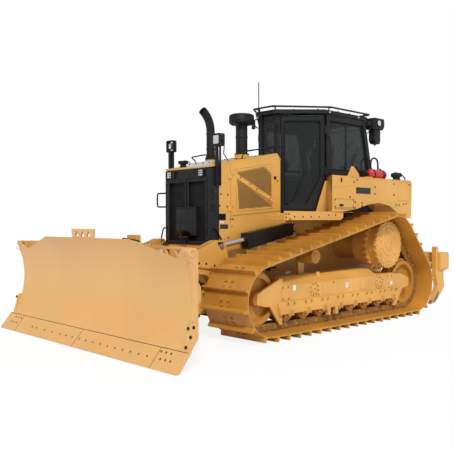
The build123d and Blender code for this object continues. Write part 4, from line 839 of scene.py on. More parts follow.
def makeHoodTop(values):
    def topAt(x):
        return values["z"] + (values["front"] - x) * values["slope"]

    form = Form()
    # rail from the hood to the cab and its feet
    form.tube([(701, 40, 2386), (701, 40, 2448), (637, 40, 2477), (120, 40, 2562), (96, 40, 2560)], 11, 10, 26)
    form.tube([(998, 330, 2310), (998, 330, 2357), (936, 330, 2425), (300, 330, 2545), (116, 330, 2548)], 10, 10, 26)
    for x, y, z in ((701, 40, 2380), (998, 330, 2322)):
        form.turned((x, y, z - 6), (0, 0, 1), [(24, 0), (24, 8), (12, 12)], 16)
    form.done("hoodRails", "frameBlack")
    form = Form()
    # seams and bolts of the top's covers
    for x in values["boltRows"]:
        form.bolts([(x, y, topAt(x)) for y in values["boltsAt"]], values["up"], 9)
    form.done("hoodTopBolts", "boltDark")
    form = Form()
    for x in values["seams"]:
        z, half = topAt(x), values["seamHalf"]
        form.slab(x - 2, x + 2, -half, half, z - 1, z + 1.2)
    form.done("hoodTopSeams", "rubberBlack")


makeHoodTop(hoodTopValues)

print("stage: blade and its arms")
bladeValues = {
    "half": 1830, "seams": [(-12, 4), (-1500, -1494), (1497, 1503)], "seamHalf": 1912,
    "edgeTop": (3305, 0, 199.7),
    "faceX": 3150, "faceRadius": 973.5, "faceMiddle": 735, "faceLean": 0.0093,   # the arc of the face
    "weldFrom": 206, "weldTo": 1166, "weldSteps": 24,
    "backBolts": (-1500, -1000, -360, 360, 1000, 1500),
    "lowBolts": [53, 194, 347, 495, 644, 792, 935, 1076, 1223, 1371, -110, -255, -397, -592, -794, -1004, -1121],
}


def makeBlade(values):
    low, high = box("cutting_edge")
    top, bottom = Vector(values["edgeTop"]), Vector((high[0], 0, low[2]))
    slope = (top - bottom).normalized()
    out = Vector((slope.z, 0, -slope.x))
    if out.x < 0:
        out = -out

    def onEdge(y, z):
        t = (z - bottom.z) / slope.z
        p = bottom + slope * t
        return Vector((p.x, y, z))

    # dark seams between the bolted edges, and along their top
    form = Form()
    for y0, y1 in values["seams"]:
        a, b = onEdge(y0, 14), onEdge(y1, 197)
        form.skin([[a + Vector((0, dy, 0)) + out * o for dy, o in ((-3, -3), (3, -3), (3, 1.2), (-3, 1.2))],
                   [b + Vector((0, dy, 0)) + out * o for dy, o in ((-3, -3), (3, -3), (3, 1.2), (-3, 1.2))]])
    p = onEdge(0, 198)
    form.skin([[p + Vector((0, y, 0)) + slope * s + out * o for s, o in ((-3, -3), (3, -3), (3, 1.0), (-3, 1.0))]
               for y in (-values["seamHalf"], values["seamHalf"])])
    form.done("edgeSeams", "seamShade", "blade")
    # plough bolts sunk in the edge
    form = Form()
    spots = [(y, 100) for y in values["lowBolts"]]
    for side in (-1, 1):
        spots += [(side * y, 164) for y in (1537, 1617, 1697)] + [(side * y, 103) for y in (1583, 1662, 1741)]
    for y, z in spots:
        p = onEdge(y, z)
        form.turned(p - out * 1, out, [(17, 0), (17, 2.0), (14.5, 2.4)], 16)
    form.done("ploughBoltRims", "bladeYellow", "blade")
    form = Form()
    for y, z in spots:
        p = onEdge(y, z) + out * 1.4
        form.turned(p, out, [(13, 0), (13, 1.4), (11, 1.8)], 4 if y in values["lowBolts"] else 8)
    form.done("ploughBolts", "seamShade", "blade")
    # weld lines down both sides, along the arc of the blade's face
    form = Form()
    arc = []
    low, high, steps, radius = values["weldFrom"], values["weldTo"], values["weldSteps"], values["faceRadius"]
    for k in range(steps + 1):
        z = low + (high - low) * k / steps
        h = z - values["faceMiddle"]
        arc.append((values["faceX"] + radius - math.sqrt(radius ** 2 - h ** 2) + h * values["faceLean"], z))
    for side in (-1, 1):
        y = side * (values["half"] - 40)
        rings = []
        for x, z in arc:
            rings.append([(x - 6, y - side * 4, z), (x + 3.5, y - side * 3, z), (x + 3.5, y + side * 3, z),
                          (x - 6, y + side * 4, z)])
        form.skin(rings)
    form.done("faceWelds", "bladeYellow", "blade")
    # outside of the end plates: bolts, a bead and the ear's bushing
    form = Form()
    for side in (-1, 1):
        y = side * values["half"]
        form.turned((3180, y - side * 2, 1150), (0, side, 0), [(50, 0), (50, 10), (40, 14), (22, 14), (22, 3)], 28)
        form.tube([(3262, y + side, 1100), (3136, y + side, 1012), (3108, y + side, 760), (3112, y + side, 500),
                   (3190, y + side, 290)], 5, 8, 60)
    form.done("endPlateDetails", "bladeYellow", "blade", soft=1)
    form = Form()
    for side in (-1, 1):
        y = side * (values["half"] + 20)
        form.bolts([(x, y, z) for x, z in ((3180, 420), (3220, 330), (3280, 240), (3250, 420))], (0, side, 0), 13)
    form.done("endBitBolts", "boltDark", "blade")
    # bolts on the back
    form = Form()
    for y in values["backBolts"]:
        form.turned((2899, y, 700), (-1, 0, 0), [(18, 0), (18, 5), (11, 6), (11, 14), (6, 18)], 14)
    form.done("bladeBackBolts", "boltDark", "blade")


makeBlade(bladeValues)

armValues = {
    "y": 600, "eye": (1700, 1140), "eyeHalf": 64,      # the lift cylinder's rod eye: x, z
    "pivot": (400, 640), "pivotFace": 640, "capBolts": 96,
    "towerBolts": [(1600, 860), (1700, 900), (1820, 900), (1960, 930), (2080, 940)],
    "hosesAt": (584, 614),
    "clamps": [(760, 792), (1120, 800), (1400, 812)],
}


def makeArms(values):
    # pin heads with their keeper plates
    arm, half, face = values["y"], values["eyeHalf"], values["pivotFace"]
    (eyeX, eyeZ), (pivotX, pivotZ) = values["eye"], values["pivot"]
    pins, keepers, hoses, clamps = Form(), Form(), Form(), Form()
    for side in (-1, 1):
        # lift cylinder's rod eye in its tower
        for out in (-1, 1):
            y = arm + out * half
            pins.turned((eyeX, side * y, eyeZ), (0, side * out, 0), [(34, -8), (34, 14), (30, 18), (10, 18), (8, 14)],
                        24)
        keepers.plate(rect(eyeX - 20, eyeZ + 24, eyeX + 64, eyeZ + 52), "y", *sideSpan(side, 662, 672))
        keepers.bolt((eyeX + 52, side * 672, eyeZ + 38), (0, side, 0), 9)
        # C-frame's pivot cap with a ring of bolts
        pins.turned((pivotX, side * face, pivotZ), (0, side, 0), [(112, -2), (112, 8), (92, 16), (40, 18), (34, 10)],
                    40)
        keepers.bolts([(x, side * (face + 8), z) for x, _,
                       z in ringPoints((pivotX, 0, pivotZ), values["capBolts"], 8)], (0, side, 0), 9)
        # bolts where the tower is set on the arm
        keepers.bolts([(x, side * 662, z) for x, z in values["towerBolts"]], (0, side, 0), 11)
    pins.done("armPins", "bareSteel", "c_frame", soft=0.8)
    keepers.done("armKeepers", "boltDark", "c_frame")
    # hoses along the arms
    for side in (-1, 1):
        for k, away in enumerate(values["hosesAt"]):
            y = side * away
            hoses.tube([(620, y, 806), (1000, y, 812), (1440, y, 836), (1620, y, 940), (1760, y, 1000),
                        (2090, y, 1056), (2156, y, 1000), (2150, y, 850), (2070, side * (566 + 8 * k), 730)], 12, 10,
                       90)
        for x, z in values["clamps"]:
            clamps.slab(x - 14, x + 14, *sideSpan(side, 560, 632), z - 20, z + 34)
    hoses.done("armHoses", "rubberBlack", "c_frame")
    clamps.done("armHoseClamps", "boltDark", "c_frame", soft=1.5)


makeArms(armValues)

cylinderValues = {
    # both ends of each cylinder's line on the left side, then the barrel; rise is how high the pipe stands
    "ripper": dict(start=(-2400, 190, 1180), end=(-3040, 190, 600), length=552, radius=55, gland=65, rise=14),
    "tilt": dict(start=(2700, -150, 1180), end=(2700, 700, 1120), length=600, radius=58, gland=68, rise=14),
    # low enough to pass under the swivel's crossbar at full angle
    "angle": dict(start=(1960, 520, 650), end=(2790, 880, 650), length=580, radius=60, gland=70, rise=6),
}
pipeEnds = (0.12, 0.7)   # shares of the barrel's length


def cylinderLine(start, end, side):
    # its start, its direction and the direction at right angles that points most upwards
    start, end = (Vector((x, side * y, z)) for x, y, z in (start, end))
    axis = (end - start).normalized()
    up = Vector((0, 0, 1))
    return start, axis, (up - axis * up.dot(axis)).normalized()


def dressCylinder(glands, pipes, side, start, end, length, radius, gland, rise):
    # gland ring with its bolts, and a pipe along the top of the barrel
    start, axis, up = cylinderLine(start, end, side)
    out = axis.cross(up) * side
    glands.turned(start + axis * (length - 26), axis, [(gland - 2, 0), (gland + 4, 2), (gland + 4, 14),
                                                       (gland - 2, 18)], 32)
    for k in range(8):
        a = math.tau * k / 8
        p = start + axis * (length - 1) + (up * math.cos(a) + out * math.sin(a)) * (gland - 9)
        glands.turned(p, axis, [(6, 0), (6, 6), (5, 7)], 6)
    a, b = (start + axis * length * share + up * (radius + 4) for share in pipeEnds)
    pipes.tube([a - up * 10, a + up * rise, b + up * rise, b - up * 10], 8, 10, 18)
    for p in (b, a):
        pipes.turned(p - up * 8, up, [(15, 0), (15, 10), (12, 14)], 6)


def makeCylinders(values):
    for kind, turns, endings, body in (
            ("ripper", (-1, 1), ("Glands", "Pipes"), "ripper_barrels"),
            ("tilt", (1,), ("Gland", "Pipe"), "tilt_barrel"),
            ("angle", (1,), ("GlandLeft", "PipeLeft"), "angle_barrel_left"),
            ("angle", (-1,), ("GlandRight", "PipeRight"), "angle_barrel_right")):
        glands, pipes = Form(), Form()
        for side in turns:
            dressCylinder(glands, pipes, side, **values[kind])
        glands.done(kind + endings[0], "frameBlack", body, soft=0.8)
        pipes.done(kind + endings[1], "frameBlack", body)


makeCylinders(cylinderValues)

liftValues = {
    "start": (245, 600, 1360), "end": (1700, 600, 1140),
    "gland": 990, "bolts": (130, 380, 640, 900),       # along the line from its start
    "cover": (80, 985), "coverHalf": 62, "coverUp": 79,
}


def makeLiftCovers(values):
    # lift cylinders: gland, cover's folded edge and bolts
    form = Form()
    half = values["coverHalf"]
    for side in (-1, 1):
        start, axis, up = cylinderLine(values["start"], values["end"], side)
        form.turned(start + axis * values["gland"], axis, [(66, 0), (68, 2), (68, 12), (58, 16), (44, 18), (44, 30),
                                                           (38, 32)], 32)
        for t in values["bolts"]:
            form.bolt(start + axis * t + Vector((0, side * 64, 0)) + up * 50, (0, side, 0), 9)
        form.skin([[start + axis * t + up * values["coverUp"] + Vector((0, side * y, 0)) + up * z
                    for y, z in ((-half, -2), (half, -2), (half, 5), (-half, 5))] for t in values["cover"]])
    form.done("liftCovers", "frameBlack", "lift_barrels", soft=1.5)


makeLiftCovers(liftValues)

print("stage: cab")
doorPlane = {"hinge": (-410, 680), "front": (120, 175)}   # seen from above, left door
doorValues = {
    "outer": [(22, 3036), (668, 3036), (668, 2440), (664, 1616), (162, 1616), (22, 2076)],
    "glass": [(78, 2954), (616, 2954), (616, 2430), (612, 1698), (304, 1698), (78, 2112)],
}


def doorPoint(turn):
    a, b = Vector(doorPlane["hinge"]), Vector(doorPlane["front"])
    along = (b - a).normalized()
    out = Vector((-along.y, along.x))
    if out.y < 0:
        out = -out

    def at(t, z, lift=0.0):
        p = a + along * t + out * lift
        return (p.x, turn * p.y, z)

    return at


def rounded(outline, radius, steps=5):
    return [(p.x, p.y) for p in roundPath([(a, b, 0) for a, b in outline], radius, steps, True)]


def shrink(outline, by):
    # each corner moved inwards along its two sides
    out = []
    count = len(outline)
    area = sum(outline[k][0] * outline[(k + 1) % count][1] - outline[(k + 1) % count][0] * outline[k][1]
               for k in range(count))
    flip = 1 if area > 0 else -1
    for k in range(count):
        p, q, r = (Vector(outline[(k + j) % count]) for j in (-1, 0, 1))
        a, b = (q - p).normalized(), (r - q).normalized()
        na, nb = Vector((-a.y, a.x)) * flip, Vector((-b.y, b.x)) * flip
        m = (na + nb).normalized()
        out.append(tuple(q + m * by / max(m.dot(na), 0.3)))
    return out


def makeDoors(values):
    for turn, word in ((1, "left"), (-1, "right")):
        at = doorPoint(turn)
        body = "cab_door_" + word
        # pressed frame: broad rounded ring over the door, then a soft rubber seal
        outer = rounded(values["outer"], 34)
        inner = rounded(shrink(values["glass"], -6), 46)
        form = Form()
        form.frameRing(outer, inner, lambda p, d: at(p[0], p[1], -2 + 14 * d))
        form.done("doorFrame_" + word, "frameBlack", body, soft=5)
        form = Form()
        seal = [at(p[0], p[1], 10) for p in rounded(shrink(values["outer"], 18), 30)]
        form.tube(seal, 6, 8, closed=True)
        seal = [at(p[0], p[1], 8) for p in rounded(shrink(values["glass"], 2), 44)]
        form.tube(seal, 9, 8, closed=True)
        form.done("doorSeals_" + word, "rubberBlack", body)
        # broad pressed band at the rear and the foot, inside the frame
        form = Form()
        band = rounded(shrink(values["glass"], -3), 46)
        glass = rounded(shrink(values["glass"], 14), 40)
        form.frameRing(band, glass, lambda p, d: at(p[0], p[1], -16 + 8 * d))
        form.done("doorPrint_" + word, "plateBlack", body, soft=1)
        # handle and lock, then bolts at the hinges and the front edge
        form = Form()
        normal = Vector(at(0, 0, 1)) - Vector(at(0, 0, 0))
        grip = [at(608, 2240, 12), at(608, 2240, 46), at(600, 2400, 50), at(600, 2400, 12)]
        form.tube(grip, 10, 10, 18)
        for z in (2236, 2404):
            form.turned(at(605, z, 8), normal, [(19, 0), (19, 8), (13, 12)], 18)
        form.turned(at(640, 2190, 8), normal, [(16, 0), (16, 8), (9, 10), (9, 14)], 18)
        form.done("doorHandle_" + word, "matPlastic", body)
        form = Form()
        for z in (2180, 2560, 2930):
            form.bolts([at(40, z + d, 11) for d in (-26, 26)], normal, 7)
        form.bolts([at(636, z, 11) for z in (1680, 1980)], normal, 7)
        form.done("doorBolts_" + word, "boltDark", body)
        # wiper across the door's glass
        form = Form()
        form.tube([at(560, 1732, 6), at(500, 1760, 14), at(360, 2060, 14)], 5, 8, 20)
        form.tube([at(420, 1900, 9), at(300, 2240, 9)], 6, 6)
        form.turned(at(566, 1730, 2), normal, [(17, 0), (17, 12), (10, 20)], 16)
        form.done("doorWiper_" + word, "matPlastic", body)


makeDoors(doorValues)

cabValues = {
    "backX": -1630, "backLean": 0.2262, "leanFrom": 2220,     # the back wall leans forward above leanFrom
    "windowAt": 662, "windowFront": -535, "windowEdge": 112, "windowLow": 2238, "windowHigh": 2955,
    "roofTop": 3121, "roofBolts": [(-60, 360), (-320, 610), (-700, 694), (-1000, 694), (-1300, 694)],
    "tagsAt": (-500, -1240),
    "coverFrom": -1420, "coverTo": -360, "coverRibs": 5,
}


def makeCabBody(values):
    posts, seals, plates, bolts, tags, yellow = Form(), Form(), Form(), Form(), Form(), Form()
    top = values["roofTop"]

    def back(z):
        return values["backX"] + values["backLean"] * max(0, z - values["leanFrom"])

    for turn in (-1, 1):
        at = doorPoint(turn)
        # yellow sill and corner behind the door's slanting edge
        yellow.skin([[at(t, z, lift) for t, z in ((-46, 1600), (146, 1600), (8, 2056), (-46, 2056))]
                     for lift in (-38, -8)])
        # side window: rounded rubber seal, sliding pane's divider and its rail
        y = turn * values["windowAt"]
        low, high, front, edge = values["windowLow"], values["windowHigh"], values["windowFront"], values["windowEdge"]
        window = [(front, low), (back(low) + edge, low), (back(high) + edge, high), (front, high)]
        ring = rounded(window, 42)
        seals.tube([(x, y, z) for x, z in ring], 11, 8, closed=True)
        plates.slab(-962, -930, *sideSpan(turn, 655, 668), 2232, 2960)
        plates.slab(-1480, -540, *sideSpan(turn, 656, 666), 2226, 2244)
        plates.turned((-905, turn * 664, 2290), (0, turn, 0), [(20, 0), (20, 16), (12, 22)], 18)
        plates.tube([(-905, turn * 680, 2296), (-1040, turn * 684, 2380), (-1246, turn * 680, 2510)], 6, 8)
        plates.tube([(-1080, turn * 676, 2300), (-1250, turn * 676, 2620)], 6, 6)
        # rear pillar's raised strip with bolts, front pillar's trim
        posts.skin([[(back(z) + 20, turn * 684, z), (back(z) + 92, turn * 684, z), (back(z) + 92, turn * 676, z),
                     (back(z) + 20, turn * 676, z)] for z in (2216, 2540, 3040)])
        bolts.bolts([(back(z) + 56, turn * 684, z) for z in (2280, 2480, 2700, 2900, 3010)], (0, turn, 0), 8)
        posts.slab(-505, -430, *sideSpan(turn, 676, 688), 2100, 3050)
        bolts.bolts([(-468, turn * 688, z) for z in (2160, 2420, 2700, 2980)], (0, turn, 0), 8)
        # roof: drip rail, bolts and small tags
        posts.tube([(112, turn * 150, 3070), (104, turn * 196, 3070), (-420, turn * 700, 3070),
                    (-1440, turn * 700, 3070)], 9, 8, 30)
        bolts.bolts([(x, turn * away, top) for x, away in values["roofBolts"]], (0, 0, 1), 9)
        for x in values["tagsAt"]:
            tags.slab(x - 16, x + 16, *sideSpan(turn, 690, 696), 3076, 3104)
        # corner loop with its bracket and a mirror
        posts.tube([(116, turn * 176, 3010), (176, turn * 226, 3014), (190, turn * 240, 2940),
                    (132, turn * 196, 2880)], 9, 8, 24)
        posts.slab(96, 128, *sideSpan(turn, 150, 200), 2940, 3030)
        plates.skin([[(176, turn * (206 + a), 2866 + b) for a, b in ((0, 0), (74, 0), (74, 130), (0, 130))],
                     [(190, turn * (206 + a), 2866 + b) for a, b in ((6, 6), (68, 6), (68, 124), (6, 124))]])
        # grab rail behind the door
        posts.tube([(-470, turn * 700, 2170), (-470, turn * 726, 2200), (-470, turn * 726, 2700),
                    (-470, turn * 700, 2730)], 10, 10, 20)
    # windscreen's seal, wiper, and the window in the back
    seals.tube([(102, y, z) for y, z in rounded(rect(-124, 2298, 124, 3050), 30)], 8, 8, closed=True)
    plates.tube([(110, 60, 2290), (118, 40, 2330), (122, -30, 2720)], 6, 8)
    plates.tube([(118, 6, 2560), (118, -50, 2860)], 6, 6)
    plates.turned((104, 60, 2284), (1, 0, 0), [(18, 0), (18, 12), (10, 18)], 16)
    backWindow = [(back(z) - 4, y, z) for y, z in rounded(rect(-560, 2280, 560, 2940), 44)]
    seals.tube(backWindow, 11, 8, closed=True)
    plates.tube([(back(2300) - 14, 0, 2300), (back(2400) - 22, 60, 2400), (back(2700) - 18, 300, 2700)], 6, 8)
    plates.tube([(back(2560) - 14, 120, 2560), (back(2820) - 14, 420, 2820)], 6, 6)
    # roof skin: stepped cover with a duct
    form = Form()
    x0, x1 = values["coverFrom"], values["coverTo"]
    form.skin([[(x0, -560, top), (x1, -560, top), (x1 + 180, -380, top), (x1 + 180, 380, top), (x1, 560, top),
                (x0, 560, top)],
               [(x0 + 24, -536, 3136), (x1 - 10, -536, 3136), (x1 + 150, -366, 3136), (x1 + 150, 366, 3136),
                (x1 - 10, 536, 3136), (x0 + 24, 536, 3136)]])
    for k in range(values["coverRibs"]):
        y = -320 + 160 * k
        form.slab(x0 + 120, x1 - 60, y - 14, y + 14, 3135, 3142)
    form.done("roofCover", "frameBlack", soft=6)
    bolts.bolts([(x, y, 3137) for x in (-1370, -900, -420) for y in (-500, 500)], (0, 0, 1), 9)
    form = Form()
    form.turned((160, -150, 3105), (0, 0, 1), [(20, 0), (22, 10), (14, 26), (9, 60), (6, 90), (4.5, 96), (4, 460)],
                16)
    form.slab(96, 176, -172, -128, 3098, 3108)
    form.done("antennaFoot", "matPlastic", soft=1)
    posts.done("cabTrim", "frameBlack", soft=2)
    seals.done("windowSeals", "rubberBlack")
    plates.done("wipersAndRails", "matPlastic", soft=1.5)
    bolts.done("cabBolts", "boltDark")
    tags.done("roofTags", "tagYellow", soft=1)
    yellow.done("doorCorners", "bodyYellow", soft=3)


makeCabBody(cabValues)



def makeCabin():
    # console, screen, levers and pedals: what shows through the glass
    form = Form()
    form.skin([[(-60, y, z) for y, z in ((-150, 2160), (150, 2160), (120, 2190), (-120, 2190))],
               [(40, y, z) for y, z in ((-130, 2150), (130, 2150), (110, 2200), (-110, 2200))]])
    form.skin([[(-110, y, z) for y, z in ((-150, 2250), (-10, 2250), (-10, 2360), (-150, 2360))],
               [(-140, y, z) for y, z in ((-160, 2240), (0, 2240), (0, 2370), (-160, 2370))]])
    form.tube([(-120, -80, 2160), (-125, -80, 2260)], 12, 8)
    for y in (-90, 90):
        form.skin([[(-30, y - 40, 1660), (-30, y + 40, 1660), (-22, y + 40, 1664), (-22, y - 40, 1664)],
                   [(40, y - 36, 1760), (40, y + 36, 1760), (46, y + 36, 1756), (46, y - 36, 1756)]])
    for y in (-300, 300):
        form.skin([[(-980, y - 50, 2248), (-980, y + 50, 2248), (-980, y + 40, 2290), (-980, y - 40, 2290)],
                   [(-620, y - 40, 2248), (-620, y + 40, 2248), (-620, y + 32, 2284), (-620, y - 32, 2284)]])
        form.tube([(-650, y, 2280), (-650, y, 2330)], 14, 10)
        form.turned((-650, y, 2326), (0.12, 0, 1), [(20, 0), (30, 18), (34, 60), (30, 96), (16, 112), (2, 114)], 20)
    for y in (-560, 560):
        form.slab(-1300, -460, y - 50, y + 50, 1900, 2200)
    form.done("cabinControls", "matPlastic", soft=5)
    form = Form()
    form.skin([[(-109, y, z) for y, z in ((-142, 2258), (-18, 2258), (-18, 2352), (-142, 2352))],
               [(-107, y, z) for y, z in ((-140, 2260), (-20, 2260), (-20, 2350), (-140, 2350))]])
    form.done("cabinScreen", "plateBlack")
    form = Form()
    form.skin([[(-1440, -560, 3040), (-1440, 560, 3040), (-1440, 560, 3000), (-1440, -560, 3000)],
               [(-200, -420, 3050), (-200, 420, 3050), (-200, 420, 3026), (-200, -420, 3026)]])
    form.done("headlining", "liningGrey", soft=8)
    form = Form()
    form.turned((-480, 300, 2900), (0, 0, 1), [(5, 0), (5, 60)], 8)
    form.tube([(-350, 470, 2960), (-350, 500, 2700), (-330, 500, 2300)], 7, 8, 40)
    form.done("cabinRail", "frameBlack")


makeCabin()

seatValues = {
    "cushion": (-1150, -650, 235, 2112, 96),   # x from, x to, half width, height, thickness
    "backrest": (2160, 2690, 225, -1135, 88),  # z from, z to, half width, x, thickness
    "head": (2700, 2850, 130, -1190, 80),
    "pressure": 4.0, "stiffness": 15,
    "voxel": 0.012, "frames": 12, "swell": 0.016,   # swell: metres at most
}


def padForm(name, place, length, half, thick):
    # a crowned closed form: rings along the length, rounded at both ends
    form = Form()
    rings = []
    steps = 14
    for k in range(steps + 1):
        t = k / steps
        edge = math.sin(math.pi * min(max(t, 0.001), 0.999)) ** 0.22
        width = half * (0.86 + 0.14 * edge)
        high = thick * (0.5 + 0.5 * edge) / 2
        ring = []
        for i in range(24):
            a = math.tau * i / 24
            c, s = math.cos(a), math.sin(a)
            u = math.copysign(abs(c) ** 0.35, c) * width
            v = math.copysign(abs(s) ** 0.55, s) * high * (1 + 0.12 * (1 - (u / width) ** 2))
            ring.append(place(t * length, u, v))
        rings.append(ring)
    form.skin(rings)
    return form.done(name, "seatCloth")


def puff(piece, values):
    # cloth pressed outwards, then fixed
    scene = bpy.context.scene
    data = piece.data
    start = piece.modifiers.new("fine", "REMESH")
    start.mode = "VOXEL"
    start.voxel_size = values["voxel"]
    cloth = piece.modifiers.new("fill", "CLOTH")
    cloth.settings.uniform_pressure_force = values["pressure"]
    cloth.settings.use_pressure = True
    cloth.settings.tension_stiffness = values["stiffness"]
    cloth.settings.compression_stiffness = values["stiffness"]
    cloth.settings.effector_weights.gravity = 0
    cloth.point_cache.frame_start = 1
    cloth.point_cache.frame_end = values["frames"]
    depsgraph = bpy.context.evaluated_depsgraph_get()
    piece.modifiers["fill"].show_viewport = False
    depsgraph.update()
    before = bpy.data.meshes.new_from_object(piece.evaluated_get(depsgraph))
    piece.modifiers["fill"].show_viewport = True
    for step in range(1, values["frames"] + 1):
        scene.frame_set(step)
    depsgraph = bpy.context.evaluated_depsgraph_get()
    after = bpy.data.meshes.new_from_object(piece.evaluated_get(depsgraph))
    if len(after.vertices) == len(before.vertices):
        for old, new in zip(before.vertices, after.vertices):
            move = new.co - old.co
            if move.length > values["swell"]:
                move *= values["swell"] / move.length
            new.co = old.co + move
        piece.modifiers.clear()
        piece.data = after
        after.name = data.name + "Filled"
        after.shade_smooth()
        smooth = piece.modifiers.new("smooth", "SUBSURF")
        smooth.levels = smooth.render_levels = 1
    else:
        piece.modifiers.clear()
    scene.frame_set(1)


def makeSeat(values):
    x0, x1, half, z, thick = values["cushion"]
    cushion = padForm("seatCushion", lambda d, u,
                      v: (x0 + d, u, z + v + 0.00012 * (u * u) * 0.4 + 10 * (d / (x1 - x0)) ** 4), x1 - x0, half,
                      thick)
    z0, z1, half, x, thick = values["backrest"]
    backrest = padForm("seatBackrest", lambda d, u, v: (x - d * 0.12 + v + 0.0005 * u * u * 0.6, u, z0 + d), z1 - z0,
                       half, thick)
    z0, z1, half, x, thick = values["head"]
    head = padForm("seatHead", lambda d, u, v: (x - d * 0.1 + v, u, z0 + d), z1 - z0, half, thick)
    for piece, fill in ((cushion, 0.7), (backrest, 0.7), (head, 0.8)):
        puff(piece, values)
    # shell, slider, belt and sewn lines
    form = Form()
    form.skin([[(-1160, y, zz) for y, zz in ((-240, 2010), (240, 2010), (250, 2070), (-250, 2070))],
               [(-640, y, zz) for y, zz in ((-220, 2010), (220, 2010), (240, 2070), (-240, 2070))]])
    form.skin([[(-1190 - 0.1 * (zz - 2060), y, zz) for y in (-200, 200)]
               + [(-1215 - 0.1 * (zz - 2060), y, zz) for y in (180, -180)] for zz in (2040, 2300, 2680, 2700)])
    form.plate([(-1140, 1582), (-700, 1582), (-760, 1700), (-760, 1960), (-700, 2008), (-1120, 2008), (-1080, 1960),
                (-1080, 1700)], "y", -180, 180)
    for k in range(6):
        form.slab(-1096, -744, -196, 196, 1720 + 36 * k, 1738 + 36 * k)
    for y in (-90, 90):
        form.tube([(-1205, y * 0.7, 2660), (-1212, y * 0.7, 2740)], 9, 8)
    form.done("seatShell", "matPlastic", soft=6, hides=("seat",))
    form = Form()
    for y in (-130, 0, 130):
        form.tube([(-1140, y, 2160), (-900, y, 2166), (-660, y, 2160)], 3, 6)
    form.tube([(-1100, -236, 2120), (-1080, -120, 2172), (-1060, 120, 2172), (-1080, 236, 2120)], 8, 6, 40)
    form.done("seatSeams", "rubberBlack", slot="seat_fabric")


makeSeat(seatValues)

print("stage: fenders, steps and tank")
fenderValues = {
    "side": 1100,
    "bolts": [(-537, 2024), (-612, 2057), (-1608, 2036), (-1607, 1862), (-1079, 1970), (-1079, 1864), (-439, 1803),
              (-562, 1733),
              (-738, 1721), (-738, 1677), (-561, 1645), (-1665, 1706), (-1753, 1707), (-1962, 1730), (-2060, 2040),
              (-1880, 1720)],
    "plate": (-959, -590, 1858, 1950),
    "rearPanel": (-2085, -1724, 1775, 2085),
    "boxAt": (-512, -62, 1646, 1772),          # the toolbox's lid
    "capAt": (-1862, 985), "capBolts": 10,
    "treads": 9, "treadFrom": -700, "treadPitch": 52,
}


